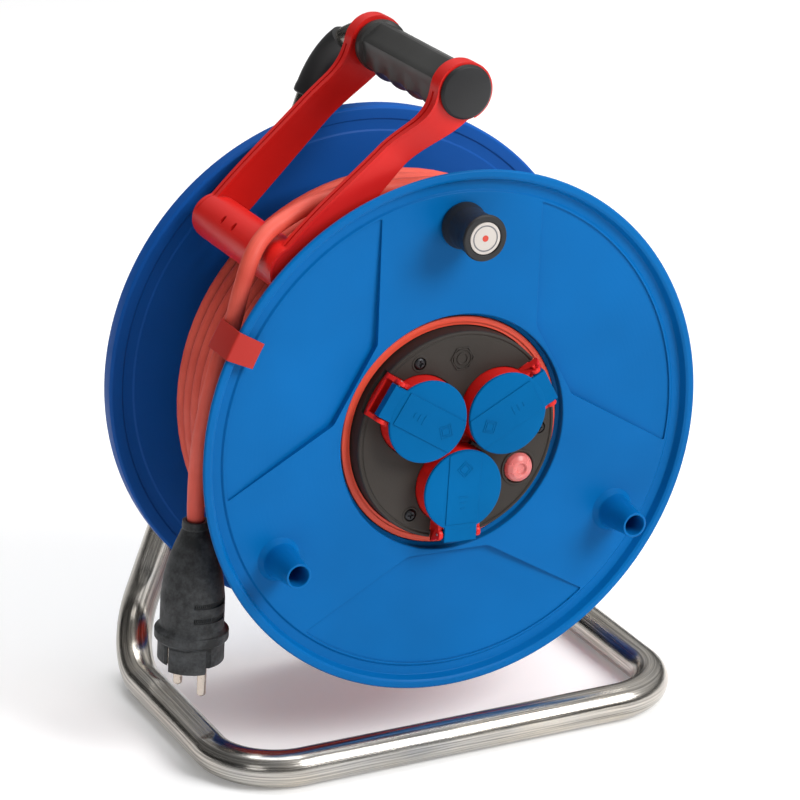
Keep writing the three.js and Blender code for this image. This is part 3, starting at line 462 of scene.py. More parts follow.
def lathe(profile, steps, x=0.0, z=0.0):
    """A closed (radius, y) profile turned about the Y line through (x, z)."""
    bm = bmesh.new()
    rings = []
    outline = anticlockwise(profile)
    for k in range(steps):
        c, s = math.cos(2 * math.pi * k / steps), math.sin(2 * math.pi * k / steps)
        rings.append([None if r < 1e-6 else bm.verts.new((x + r * c, y, z + r * s)) for r, y in outline])
    poles = {i: bm.verts.new((x, y, z)) for i, (r, y) in enumerate(outline) if r < 1e-6}
    count = len(outline)
    for k in range(steps):
        here, there = rings[k], rings[(k + 1) % steps]
        for i in range(count):
            j = (i + 1) % count
            corners = [here[i] or poles[i], here[j] or poles[j], there[j] or poles[j], there[i] or poles[i]]
            unique = list(dict.fromkeys(corners))
            if len(unique) > 2:
                bm.faces.new(unique)
    return bm


def hoop(inner, outer, y0, y1, steps, x=0.0, z=0.0):
    """A ring with a square section."""
    return lathe([(inner, y0), (outer, y0), (outer, y1), (inner, y1)], steps, x, z)


def rod(radius, y0, y1, x=0.0, z=0.0, steps=48, chamfer=0.0):
    profile = [(0, y0), (radius, y0, chamfer), (radius, y1, chamfer), (0, y1)]
    return lathe(rounded(profile, 3), steps, x, z)


def prism(outline, y0, y1):
    """A solid along Y from an (x, z) outline."""
    bm = bmesh.new()
    ordered = anticlockwise(outline)
    near = [bm.verts.new((x, y0, z)) for x, z in ordered]
    far = [bm.verts.new((x, y1, z)) for x, z in ordered]
    bm.faces.new(near)
    bm.faces.new(far[::-1])
    for i in range(len(near)):
        j = (i + 1) % len(near)
        bm.faces.new((near[i], far[i], far[j], near[j]))
    return bm


def box(low, high):
    bm = bmesh.new()
    bmesh.ops.create_cube(bm, size=1.0)
    for v in bm.verts:
        v.co = Vector((low[i] + (v.co[i] + 0.5) * (high[i] - low[i]) for i in range(3)))
    return bm


def turned(bm, angle, axis="Y"):
    """bm turned about an axis; about Y a positive angle runs from +X towards +Z."""
    signed = -angle if axis == "Y" else angle
    rotation = Matrix.Rotation(math.radians(signed), 3, axis)
    bmesh.ops.rotate(bm, verts=bm.verts, cent=(0, 0, 0), matrix=rotation)
    return bm


def moved(bm, x, y, z):
    bmesh.ops.translate(bm, verts=bm.verts, vec=(x, y, z))
    return bm


def merged(*parts):
    """Several separate solids as one mesh."""
    bm = bmesh.new()
    for part in parts:
        mesh = bpy.data.meshes.new("part")
        part.to_mesh(mesh)
        part.free()
        bm.from_mesh(mesh)
        bpy.data.meshes.remove(mesh)
    return bm


def bent_path(corners, radii, step=3.0):
    """Points along straight runs joined by arcs."""
    v = [Vector(c) for c in corners]
    points = [v[0]]
    for i in range(1, len(v) - 1):
        a, b = (v[i - 1] - v[i]).normalized(), (v[i + 1] - v[i]).normalized()
        half, r = a.angle(b) / 2, radii[i - 1]
        centre = v[i] + (a + b).normalized() * (r / math.sin(half))
        start = v[i] + a * (r / math.tan(half)) - centre
        axis, turn = a.cross(b).normalized(), math.pi - 2 * half
        steps = max(2, round(math.degrees(turn) / step))
        for k in range(steps + 1):
            points.append(Matrix.Rotation(-turn * k / steps, 3, axis) @ start + centre)
    points.append(v[-1])
    return points


def subdivided(points, longest):
    """The same line with no step longer than longest."""
    result = [points[0]]
    for a, b in zip(points, points[1:]):
        count = max(1, math.ceil((b - a).length / longest))
        result += [a.lerp(b, k / count) for k in range(1, count + 1)]
    return result


def sweep(points, section, up=(0, 1, 0)):
    """A closed tube along points, with UVs that run round and along it.

    section is (radius, sides), or a function of the run and the angle that gives the radius.
    """
    sides = 48 if callable(section) else section[1]
    radius = section if callable(section) else (lambda s, a: section[0])
    bm = bmesh.new()
    layer = bm.loops.layers.uv.new("UVMap")
    side = Vector(up)
    rings, lengths, run = [], [], 0.0
    last = None
    for i, p in enumerate(points):
        before, after = points[max(i - 1, 0)], points[min(i + 1, len(points) - 1)]
        along = ((p - before).normalized() + (after - p).normalized()).normalized()
        if last is not None:
            side = last.rotation_difference(along) @ side
            run += (p - before).length
        side = (side - along * side.dot(along)).normalized()
        other = along.cross(side)
        last = along
        ring = []
        for k in range(sides):
            angle = 2 * math.pi * k / sides
            r = radius(run, math.degrees(angle))
            ring.append(bm.verts.new(p + side * (r * math.cos(angle)) + other * (r * math.sin(angle))))
        rings.append(ring)
        lengths.append(run)
    for i in range(len(rings) - 1):
        for k in range(sides):
            j = (k + 1) % sides
            face = bm.faces.new((rings[i][k], rings[i][j], rings[i + 1][j], rings[i + 1][k]))
            for loop, (m, n) in zip(face.loops, ((k, i), (k + 1, i), (k + 1, i + 1), (k, i + 1))):
                loop[layer].uv = (m / sides, lengths[n] * UV_PER_MM)
    bm.faces.new(rings[0][::-1])
    bm.faces.new(rings[-1])
    return bm


def spline(points, per_span):
    """A smooth curve through given points."""
    p = [Vector(v) for v in points]
    p = [p[0] * 2 - p[1]] + p + [p[-1] * 2 - p[-2]]
    result = []
    for i in range(1, len(p) - 2):
        for k in range(per_span):
            t = k / per_span
            a = (p[i + 1] - p[i - 1]) * t
            b = (p[i - 1] * 2 - p[i] * 5 + p[i + 1] * 4 - p[i + 2]) * t * t
            c = (p[i] * 3 - p[i - 1] - p[i + 1] * 3 + p[i + 2]) * t ** 3
            result.append(p[i] + (a + b + c) / 2)
    result.append(p[-2])
    return result


def length_of(points):
    return sum((b - a).length for a, b in zip(points, points[1:]))


camera()
bpy.context.scene.view_settings.view_transform = "Standard"

# ---------- cable ----------

LAYER_R, LAYER_PITCH = 75.5, 7.7
FIRST_TURN_Y, TURN_PITCH = 13.3, 9.3
SLOT_LEVELS = [6] * 9 + [5, 5, 4]
STEP_FROM, STEP_OVER = 250.0, 75.0
LEAD_START = 79.8
CORE_EXIT, LEAD_RISE = 30.0, 70.0
LOOSE_LEVEL = 4


def turn_order():
    """(level, slot) of each turn, laid in passes to and fro from the inlet until the drum is full."""
    pile = [0] * len(SLOT_LEVELS)
    order, slots = [], list(range(3, len(pile)))
    while any(pile[j] < SLOT_LEVELS[j] for j in range(len(pile))):
        for j in slots:
            if pile[j] < SLOT_LEVELS[j]:
                order.append((pile[j], j))
                pile[j] += 1
        slots = list(range(len(pile)))
        if order[-1][1] > 4:
            slots.reverse()
    return order


def winding_points():
    """The turns from the core's inlet to the lead; those from LOOSE_LEVEL out wander a little."""
    rng = random.Random(7)
    order = turn_order()
    spots = []
    for level, j in order:
        y = FIRST_TURN_Y + TURN_PITCH * j + (TURN_PITCH / 2 if level % 2 else 0)
        spots.append((LAYER_R + LAYER_PITCH * level, min(y, REAR_PLATE_Y - 5.0), level,
                      rng.uniform(0, 360), rng.uniform(0.2, 0.75)))
    points = []
    angle = INLET_ANGLE
    end = 360 * len(spots) + LEAD_START
    while angle < end:
        u = (angle - STEP_FROM) / 360
        k = min(max(math.floor(u), -1), len(spots) - 1)
        here = spots[max(k, 0)]
        before = spots[max(k - 1, 0)]
        t = smoothstep((u - k) * 360 / STEP_OVER) if k > 0 else 1.0
        r = before[0] + (here[0] - before[0]) * t
        y = before[1] + (here[1] - before[1]) * t
        if here[2] >= LOOSE_LEVEL:
            y += here[4] * math.sin(math.radians(angle * 2 + here[3]))
            r += 0.35 * here[4] * math.sin(math.radians(angle * 3 + here[3]))
        if angle < INLET_ANGLE + CORE_EXIT:
            r -= 4.0 * (1 - smoothstep((angle - INLET_ANGLE) / CORE_EXIT))
        lift = smoothstep((angle - (end - LEAD_RISE)) / LEAD_RISE)
        r += (math.hypot(*LEAD_POINTS[0][::2]) - r) * lift
        y += (LEAD_POINTS[0][1] - y) * lift
        x, z = polar(r, angle)
        points.append(Vector((x, y, z)))
        angle += 11.25 if here[2] < LOOSE_LEVEL else 4.5
    points.append(Vector(LEAD_POINTS[0]))
    return points


LEAD_POINTS = [
    (22.0, 43.0, 122.2),
    (-8.0, 41.5, 124.4),
    (-38.0, 38.5, 125.8),
    (-66.5, 34.0, 124.0),
    (-89.0, 27.5, 118.0),
    (-99.6, 23.4, 112.8),
    (-107.6, 19.2, 104.2),
    (-114.2, 17.0, 88.4),
    (-119.6, 16.3, 70.4),
    (-126.9, 15.8, 53.0),
    (-132.6, 16.8, 31.0),
    (-135.4, 20.0, 10.4),
    (-135.9, 24.2, -10.5),
    (-135.3, 27.6, -28.0),
    (-135.2, 28.0, -36.6),
]

winding_line = winding_points()
winding = piece("wound_cable", sweep(winding_line, (CABLE_R, 12)), SHEATH, "cable_winding")
lead_line = spline(LEAD_POINTS, 8)
lead = piece("plug_lead", sweep(lead_line, (CABLE_R, 32)), SHEATH, "cable_lead")


def bisected(bm, through, normal, **options):
    geometry = bm.verts[:] + bm.edges[:] + bm.faces[:]
    return bmesh.ops.bisect_plane(bm, geom=geometry, plane_co=through, plane_no=normal, **options)


def clipped(bm, through, normal):
    """bm without what lies on the side that normal points to, the cut closed."""
    cut_edges = bisected(bm, through, normal, clear_outer=True)["geom_cut"]
    bmesh.ops.contextual_create(bm, geom=[g for g in cut_edges if isinstance(g, bmesh.types.BMEdge)])
    return bm


def bar_along(axis, radius, low, high, a, b, steps=32, chamfer=0.0):
    """A round bar along "X" or "Z"; a, b are its other two coordinates in x, y, z order."""
    bm = rod(radius, low, high, 0, 0, steps, chamfer)
    if axis == "X":
        return moved(turned(bm, -90, "Z"), 0, a, b)
    return moved(turned(bm, 90, "X"), a, b, 0)


def cross_recess(bm, x, z, y, depth, arm, width):
    """A cross recess cut into a screw head that faces -Y at y."""
    first = box((x - width / 2, y - 1, z - arm), (x + width / 2, y + depth, z + arm))
    second = box((x - arm, y - 1, z - width / 2), (x + arm, y + depth, z + width / 2))
    third = turned(box((-arm * 0.55, y - 1, -arm * 0.55), (arm * 0.55, y + depth * 0.6, arm * 0.55)), 45)
    return cut(bm, first, second, moved(third, x, 0, z))


# ---------- frame ----------

def leg_point(side, z):
    drop = HANDLE_Z - z
    slope = FOOT_HALF_W / (HANDLE_Z - FOOT_Z)
    lean = (FOOT_REAR_Y - HANDLE_REAR_Y) / (HANDLE_Z - FOOT_Z)
    return Vector((side * slope * drop, HANDLE_REAR_Y + lean * drop, z))


def dent(bm, middle, half_length, along, inward, depth):
    """Presses a flat with rounded ends into the tube; inward points from the flat to the axis."""
    end, fade = 1.14, 0.3
    along, inward = Vector(along).normalized(), Vector(inward).normalized()
    inward = (inward - along * inward.dot(along)).normalized()
    middle = Vector(middle)
    for v in bm.verts:
        offset = v.co - middle
        s = abs(offset.dot(along)) / half_length
        if s > end + 0.01 or (offset - along * offset.dot(along)).length > TUBE_R * 1.4:
            continue
        limit = TUBE_R - depth * smoothstep((end - s) / fade)
        high = -offset.dot(inward)
        if high > limit:
            v.co += inward * (high - limit)


def hex_nut(flat_r, turn, low, high, crown, bore, sides, x=0.0):
    """A nut with domed ends; crown is the end's radius, the full radius and the rise between them."""
    corner_r = flat_r / math.cos(math.radians(30))
    corners = [polar(corner_r, 60 * k + turn) for k in range(6)]
    end_r, full_r, rise = crown
    y0, y1 = low - 0.2, high + 0.2
    dome = [(0, y0), (end_r, y0), (full_r, y0 + rise), (full_r, y1 - rise), (end_r, y1), (0, y1)]
    nut = combined(prism([(x + a, b) for a, b in corners], low, high), [lathe(dome, sides, x)], "INTERSECT")
    return cut(nut, rod(bore, low - 5, high + 5, x, steps=sides - 16))


def frame_tube():
    corners = [
        (0, HANDLE_FRONT_Y, HANDLE_Z),
        (0, HANDLE_REAR_Y, HANDLE_Z),
        (-FOOT_HALF_W, FOOT_REAR_Y, FOOT_Z),
        (-FOOT_HALF_W, FOOT_FRONT_Y, FOOT_Z),
        (FOOT_HALF_W, FOOT_FRONT_Y, FOOT_Z),
        (FOOT_HALF_W, FOOT_REAR_Y, FOOT_Z),
        leg_point(1, RIGHT_LEG_TOP_Z),
    ]
    path = subdivided(bent_path(corners, [HANDLE_BEND_R] + [FOOT_BEND_R] * 4), 2.0)
    bm = sweep(path, (TUBE_R, 96), (1, 0, 0))
    dent(bm, (-FOOT_HALF_W, 55, FOOT_Z), 37, (0, 1, 0), (0.26, 0, -0.96), 1.5)
    low_leg = leg_point(-1, -72)
    dent(bm, low_leg, 52, leg_point(-1, 0) - leg_point(-1, -100), (0.665, 0.729, -0.238), 0.9)
    piece("bent_tube", bm, TUBE, "frame_tube", 13)


frame_tube()

top = leg_point(1, RIGHT_LEG_TOP_Z)
leg_up = (top - leg_point(1, RIGHT_LEG_TOP_Z - 30)).normalized()
plug_profile = rounded([(0, 2.6), (9.9, 2.4, 1.2), (9.9, -0.3, 0.3), (7.6, -0.3), (7.6, -12), (0, -12)])
leg_plug = lathe(plug_profile, 64)
bmesh.ops.transform(leg_plug, matrix=Vector((0, 1, 0)).rotation_difference(leg_up).to_matrix().to_4x4(),
                    verts=leg_plug.verts)
piece("leg_end_plug", moved(leg_plug, *top), BLACK, "leg_plug")

side_x = leg_point(1, 0).x
half_plate = [(side_x + 9, -16, 4), (side_x + 9, 16, 4), (26, 21, 8), (-26, 21, 8), (-side_x - 9, 16, 4),
              (-side_x - 9, -16, 4), (-26, -21, 8), (26, -21, 8)]
plate = prism(rounded(half_plate, 8), 131.8, 135.8)
plate = join(plate, lathe(rounded([(0, 134), (15.0, 134), (15.0, 139.0, 1.0), (0, 139.0)]), 64))
plate = cut(plate, rod(6.6, 130, 141, steps=48), rod(3.5, 130, 137, side_x), rod(3.5, 130, 137, -side_x))
piece("cross_plate", bevelled(plate, 0.4), ZINC, "axle_bracket")
for side, word in ((-1, "left"), (1, "right")):
    x = side * side_x
    head = lathe(rounded([(0, 128.7), (3.6, 128.9, 2), (6.4, 130.8, 0.5), (6.4, 131.6), (0, 131.6)]), 48, x)
    shank = rod(3.0, 131.2, 164.4, x, steps=32, chamfer=0.5)
    piece("plate_bolt_" + word, join(head, shank), ZINC, "bracket_bolt_" + word)
    nut = hex_nut(5.0, 0, 157.8, 162.6, (5.1, 5.9, 0.9), 3.1, 48, x)
    piece("plate_nut_" + word, nut, ZINC, "bracket_nut_" + word)

nut = hex_nut(9.5, 12, 141.6, 151.6, (9.6, 11.2, 1.4), 6.2, 64)
piece("axle_hex_nut", nut, ZINC, "axle_nut")
THREAD_PITCH = 1.4
thread = []
for k in range(8):
    y = 141.9 + THREAD_PITCH * k
    thread += [(5.5, y), (6.1, y + 0.5), (6.1, y + 0.8), (5.5, y + 1.3)]
axle_profile = [(0, 74), (7, 74), (7.9, 74.9), (7.9, 77), (6.6, 77), (6.6, 78.6), (7.9, 78.6), (7.9, 128.3),
                (13, 128.3), (13, 131.4), (6.1, 131.4)] + thread + [(4.8, 153.4), (0, 153.4)]
piece("axle_shaft", lathe(axle_profile, 64), ZINC, "axle")
washer = lathe(rounded([(6.6, 139.3, 0.3), (12, 139.3, 0.3), (12, 141.3, 0.3), (6.6, 141.3, 0.3)]), 64)
piece("axle_plain_washer", washer, ZINC, "axle_washer")


# ---------- handle ----------

cap = rounded([(0, -8.0), (9.0, -7.8), (13.0, -7.1), (14.2, -5.9, 0.8), (14.2, -4.9, 0.2), (9.6, -4.9),
               (9.6, 14), (0, 14)], 6)
piece("handle_end_cap", lathe(cap, 128, 0, HANDLE_Z), BLACK, "handle_cap")


def grip():
    """Four flats round the top and sides, four finger swells below, and a collar at the rear."""
    start, end = 5.4, 97.9
    steps = 186
    line = [Vector((0, start + (end - start) * k / steps, HANDLE_Z)) for k in range(steps + 1)]

    def section(run, turn):
        angle = math.radians(-turn)
        y = start + run
        body = 13.2
        for facing, flat in ((126, 11.7), (188, 11.6), (64, 11.8), (2, 12.0)):
            leaning = math.cos(angle - math.radians(facing))
            if leaning > 0.5:
                body = min(body, flat / leaning)
        below = max(0.0, -math.sin(angle)) ** 1.5
        swell = sum(math.exp(-((y - 21 - 19 * k) / 5.2) ** 2) for k in range(4))
        body += 2.5 * below * min(swell, 1.0)
        if y < 7.4:
            body += 0.5 * smoothstep((7.4 - y) / 1.2)
        collar = smoothstep((y - 90.2) / 1.3)
        body += (14.1 - body) * collar
        if y > 94.4:
            body -= 0.5 * smoothstep((y - 94.4) / 0.5)
        if y > 97.4:
            body -= 0.5
        return body

    bm = sweep(line, section, (1, 0, 0))
    piece("handle_grip", bm, GRIP_BLACK, "grip", 24)


grip()


def bend_sleeve():
    corners = [(0, 99.0, HANDLE_Z), (0, HANDLE_REAR_Y, HANDLE_Z), leg_point(-1, 146.5)]
    path = subdivided(bent_path(corners, [HANDLE_BEND_R]), 2.5)
    total = length_of(path)

    def section(run, turn):
        lip = smoothstep((run - total + 4.2) / 0.8)
        end = smoothstep((run - total + 0.7) / 0.7)
        return 11.9 + 0.35 * lip - 0.6 * end

    bm = clipped(sweep(path, section, (0, 0, 1)), (-0.2, 137.4, 185.4), (0.323, -0.384, 0.87))
    piece("bend_cover", bm, BLACK, "bend_sleeve", 40)


bend_sleeve()


# ---------- cable guide ----------

EYE_R, EYE_BORE_R, GUIDE_BAR_R, FLARE_FROM = 15.4, 10.9, 12.8, 9.0
ARM_THICK, LIP_DEPTH, ARM_STEP = 8.0, 0.9, 0.8
GUIDE_LONG = math.hypot(GUIDE_BAR[0], GUIDE_BAR[1] - HANDLE_Z)
GUIDE_SLOPE = math.degrees(math.atan2(GUIDE_BAR[1] - HANDLE_Z, GUIDE_BAR[0]))


def arm_width(u, knee, low, reach):
    """Half-width of a guide arm at u along it: an eye, a flare down to the knee, then wider again."""
    if u < FLARE_FROM:
        return math.sqrt(max(0.0, EYE_R ** 2 - u * u))
    eye = math.sqrt(EYE_R ** 2 - FLARE_FROM ** 2)
    flare = eye + (knee - eye) * (1 - (1 - min((u - FLARE_FROM) / reach, 1)) ** 2)
    wider = knee + (low - knee) * smoothstep((u - FLARE_FROM - reach) / (GUIDE_LONG - 21 - reach))
    width = flare if u < FLARE_FROM + reach else wider
    past = GUIDE_BAR_R ** 2 - (u - GUIDE_LONG) ** 2
    if u >= GUIDE_LONG:
        return math.sqrt(max(past, 0.0))
    return max(width, math.sqrt(past)) if past > 0 else width


def guide_arm(knee, low, jog):
    """An arm with a raised lip along its edge; jog is the y and thickness at the eye, then at the bar."""
    count = int((GUIDE_LONG + 27.8) / ARM_STEP)
    us = [-15.3] + [-15 + ARM_STEP * k for k in range(count)] + [GUIDE_LONG + 12.7]
    lower = [(u, arm_width(u, knee[0], low, 38)) for u in us]
    upper = [(u, -arm_width(u, knee[1], low, 20)) for u in us]
    arm = prism(lower + upper[::-1], -ARM_THICK / 2, ARM_THICK / 2)
    inner = [(u, w + 1.5) for u, w in upper if 6 < u < GUIDE_LONG]
    end = [(GUIDE_LONG + a, b) for a, b in (polar(11.3, -85 + 10 * k) for k in range(15))]
    pocket = inner + end + [(GUIDE_LONG, 30), (6, 30)]
    arm = cut(arm, prism(pocket, -ARM_THICK, -ARM_THICK / 2 + LIP_DEPTH))
    side = [(u, w) for u, w in upper if 10 < u < GUIDE_LONG + 4]
    channel = [(u, w + 1.5) for u, w in side] + [(u, w - 5) for u, w in reversed(side)]
    arm = cut(arm, prism(channel, -0.4, 1.1))
    arm = cut(arm, rod(EYE_BORE_R, -ARM_THICK, ARM_THICK, 0, 0, 64))
    for k in range(25):
        bisected(arm, (12 + 1.5 * k, 0, 0), (1, 0, 0))
    eye_y, eye_thick, low_y, low_thick = jog
    for v in arm.verts:
        t = smoothstep((v.co.x - 12.0) / 36.0)
        scale = (eye_thick + (low_thick - eye_thick) * t) / ARM_THICK
        v.co.y = eye_y + (low_y - eye_y) * t + v.co.y * scale
    return moved(turned(arm, GUIDE_SLOPE), 0, 0, HANDLE_Z)


def cable_guide():
    front = guide_arm((9.4, 5.2), 11.2, (0.2, 9.4, 12.9, 7.0))
    rear = guide_arm((10.2, 6.6), 10.2, (102.5, 8.2, 107.0, 7.4))
    bx, bz = GUIDE_BAR
    shell = rounded([(0, 10.5), (GUIDE_BAR_R, 10.5, 2.0), (GUIDE_BAR_R, 111.0, 4.5), (0, 111.0)], 8)
    tube = lathe(shell, 96, bx, bz)
    bm = join(front, tube)
    bm = join(bm, rear)
    holes = [rod(11.4, 97, 110, 0, HANDLE_Z, 64), rod(9.8, 19, 102, bx, bz, 64),
             box((bx - 6, 19, bz - 15), (bx + 6, 102, bz - 5))]
    for y in (64.0, 77.5):
        oval = rod(1.5, -5, 5, 0, 0, 32)
        bmesh.ops.scale(oval, vec=(1.0, 1.0, 1.7), verts=oval.verts)
        turned(turned(oval, 90, "Z"), -43)
        holes.append(moved(oval, -98.0, y, 107.2))
    bm = cut(bm, *holes)
    piece("swing_guide", bm, RED, "cable_guide", 34)


cable_guide()


# ---------- drum ----------

def field_outline():
    """A sunk field about +X: between two petals, from FIELD_IN out to FIELD_OUT."""
    c, s = polar(1.0, 60)
    edge = (FIELD_IN * s - PETAL_HALF_W) / c
    reach = math.degrees(math.asin((math.sqrt(FIELD_OUT ** 2 - PETAL_HALF_W ** 2) * s - PETAL_HALF_W * c)
                                   / FIELD_OUT))
    x, z = polar(FIELD_OUT, -reach)
    rim = [polar(FIELD_OUT, -reach + 2 * reach * k / 72) for k in range(1, 72)]
    return rounded([(FIELD_IN, -edge, 5.5), (x, z, 1.6)] + rim + [(x, -z, 1.6), (FIELD_IN, edge, 5.5)], 8)


def front_flange():
    profile = rounded([
        (OPENING_R, PLATE_FRONT_Y, 0.8), (126.0, PLATE_FRONT_Y), (131.0, PLATE_FRONT_Y, 0.5),
        (132.0, PLATE_FRONT_Y + 1.0, 0.4), (137.0, PLATE_FRONT_Y + 1.0, 0.6),
        (138.4, -2.0, 0.9), (139.8, -2.7, 0.6), (142.7, -2.7, 0.9), (143.5, -1.7, 0.5), (141.4, 3.0, 0.5),
        (140.3, 4.2, 0.4), (138.6, PLATE_BACK_Y, 0.6), (CORE_IN_R - 0.4, PLATE_BACK_Y),
        (CORE_IN_R - 0.4, 15.0), (OPENING_R - 2.0, 15.0), (OPENING_R - 2.0, 6.4, 0.3),
        (OPENING_R, 5.6, 0.3)], 5)
    bm = lathe(profile, 240)
    floor = [(0, -2), (140, -2), (140, 1.6), (FIELD_OUT + 1, 2.1), (FIELD_IN, 5.0), (0, 5.0)]
    tools = []
    for angle in FIELD_ANGLES:
        tool = combined(prism(field_outline(), -1.5, 6.4), [lathe(floor, 240)], "INTERSECT")
        tools.append(turned(tool, angle))
    bm = cut(bm, *tools)
    posts = []
    for k, angle in enumerate(POST_ANGLES):
        x, z = polar(POST_CIRCLE_R, angle)
        if k == 0:
            profile = [(2.2, 5), (2.2, -17), (7.2, -17, 0.4), (8.4, 0.4, 0.8), (9.6, 1.4), (9.6, 5)]
        else:
            profile = [(0, 5), (0, 4.4), (5.5, 4.4, 1.0), (5.45, -18), (5.6, POST_TIP_Y, 0.35),
                       (6.9, POST_TIP_Y, 0.5), (7.3, -18), (9.4, -1.6, 2.6), (12.2, 1.4), (12.2, 5)]
        posts.append(lathe(rounded(profile, 6), 72, x, z))
    bm = join(bm, *posts)
    piece("front_disc", bm, BLUE, "front_flange", 26)


front_flange()

CORE_SCREW_ANGLES, CORE_SCREW_R = (60, 180, 300), 64.0

rear_profile = rounded([
    (11.45, 84), (17.0, 84), (17.6, 118), (20.0, REAR_PLATE_Y - 0.1, 1.5), (131, REAR_PLATE_Y),
    (132, REAR_PLATE_Y + 0.5, 0.4), (137.4, REAR_PLATE_Y + 0.5, 0.4), (138.2, REAR_PLATE_Y - 0.2, 0.4),
    (143.8, REAR_PLATE_Y - 0.2, 1.0), (DRUM_R, REAR_PLATE_Y + 1.2, 0.8), (DRUM_R, DRUM_LEN, 1.4),
    (DRUM_R - 3.4, DRUM_LEN, 0.8), (DRUM_R - 4.6, REAR_PLATE_Y + 4.4, 1.5), (11.45, REAR_PLATE_Y + 4.0)], 5)
rear = lathe(rear_profile, 240)
ribs = [turned(box((16.5, 100, -1.2), (58, REAR_PLATE_Y + 0.5, 1.2)), 60 * k + 30) for k in range(6)]
rear = join(rear, *ribs)
pockets = []
for angle in CORE_SCREW_ANGLES:
    x, z = polar(CORE_SCREW_R, angle)
    pockets.append(rod(2.4, 120, 128, x, z, 32))
    pockets.append(lathe([(0, 124.2), (2.4, 124.2), (4.7, 126.5), (0, 126.5)], 48, x, z))
rear = cut(rear, *pockets)
web = [(24, -0.8), (56, -0.8), (56, 0.8), (24, 0.8)]
rear = cut(rear, *[turned(prism(web, REAR_PLATE_Y + 3.4, 128), 60 * k + 30) for k in range(6)])
# The rear disc takes the darker copy of the drum blue: painted shade.
piece("rear_disc", rear, BLUE_REAR_PAINTED_SHADE, "rear_flange", 26)

INLET_R = 5.2
core = hoop(CORE_IN_R, CORE_OUT_R, 7.5, 121.7, 192)
core = cut(core, turned(bar_along("X", INLET_R, 52, 82, INLET_Y, 0), INLET_ANGLE))
bosses = []
for angle in CORE_SCREW_ANGLES:
    x, z = polar(CORE_SCREW_R, angle)
    bosses += [rod(4.2, 96, 121.7, x, z, 40), turned(box((63.0, 96, -2.0), (69.0, 121.7, 2.0)), angle)]
core = join(core, *bosses)
core = cut(core, *[rod(1.9, 100, 122, *polar(CORE_SCREW_R, angle), 24) for angle in CORE_SCREW_ANGLES])
piece("drum_core", core, BLUE, "winding_core", 30)
for k, angle in enumerate(CORE_SCREW_ANGLES):
    x, z = polar(CORE_SCREW_R, angle)
    head = rod(4.1, 125.2, 126.1, x, z, 48, 0.2)
    head = join(head, lathe([(0, 124.2), (1.6, 124.2), (4.0, 125.3), (0, 125.3)], 48, x, z),
                rod(1.5, 104, 125.5, x, z, 24))
    slots = [box((x - a, 125.2, z - b), (x + a, 127, z + b)) for a, b in ((2.2, 0.4), (0.4, 2.2))]
    piece("flange_screw_%d" % (k + 1), cut(head, *slots), ZINC, "core_screw_%d" % (k + 1))

knob_x, knob_z = polar(POST_CIRCLE_R, POST_ANGLES[0])
knob_profile = rounded([
    (9.2, 0.6), (12.6, 0.6, 0.5), (12.5, -1.4, 0.8), (11.4, -5.5, 4), (11.15, -11.5, 6), (11.5, -17.5, 5),
    (12.2, -22.0, 2), (12.4, -23.4, 0.7), (11.8, -24.5, 0.5), (9.2, -24.5, 0.3), (8.9, -24.1), (8.9, -23.2),
    (5.0, -23.2), (5.0, -20.2), (2.6, -20.2), (2.6, -17.4), (9.2, -17.4)], 5)
knob = lathe(knob_profile, 96, knob_x, knob_z)
piece("crank_grip", knob, BLACK, "crank_knob", 30)
disc = rounded([(0, -24.2), (8.5, -24.2, 0.25), (8.5, -23.5), (0, -23.5)])
piece("grip_disc", lathe(disc, 96, knob_x, knob_z), OFF_WHITE, "knob_disc")
ring_mark = hoop(6.3, 7.0, -24.26, -24.0, 96, knob_x, knob_z)
piece("disc_ring_mark", ring_mark, GREY_PRINT, "knob_disc", replace=False)
dot_mark = rod(1.7, -24.26, -24.0, knob_x, knob_z, 48)
piece("disc_dot_mark", dot_mark, RED_PRINT, "knob_disc", replace=False)


def cable_clip():
    profile = rounded([(129.0, -4.6, 0.6), (145.2, -4.6, 1.2), (145.2, 22.5, 6.4), (134.5, 22.5, 0.8),
                       (132.3, 20.5, 0.6), (133.2, 19.6, 0.4), (135.0, 21.1, 0.8), (143.9, 21.1, 5.0),
                       (143.9, -3.2, 0.5), (129.0, -3.2)], 8)
    bm = bmesh.new()
    rings = []
    for k in range(9):
        c, s = polar(1.0, 148.8 + 6.2 * k / 8)
        rings.append([bm.verts.new((r * c, y, r * s)) for r, y in profile])
    count = len(profile)
    for here, there in zip(rings, rings[1:]):
        for i in range(count):
            j = (i + 1) % count
            bm.faces.new((here[i], here[j], there[j], there[i]))
    bm.faces.new(rings[0][::-1])
    bm.faces.new(rings[-1])
    bmesh.ops.recalc_face_normals(bm, faces=bm.faces)
    piece("lead_clip", bm, CLIP_RED, "cable_clip", 34)


cable_clip()


# ---------- plug ----------

PIN_OUT, EARTH_OUT = 9.5, 15.6
LIP_ANGLE, GRIP_ANGLE, KNURL_FROM, KNURL_STEP = -138.2, -134.0, -128.0, 4.0
PLUG_FRAME = (Matrix.Translation((-135.2, 28.0, -37.0)) @ Matrix.Rotation(math.radians(2.7), 4, "Y")
              @ Matrix.Rotation(math.radians(18.0), 4, "Z"))


def upright(bm):
    """A solid drawn along Y, stood along Z."""
    return turned(bm, 90, "X")


def plug_place(bm):
    bmesh.ops.transform(bm, matrix=PLUG_FRAME, verts=bm.verts)
    return bm


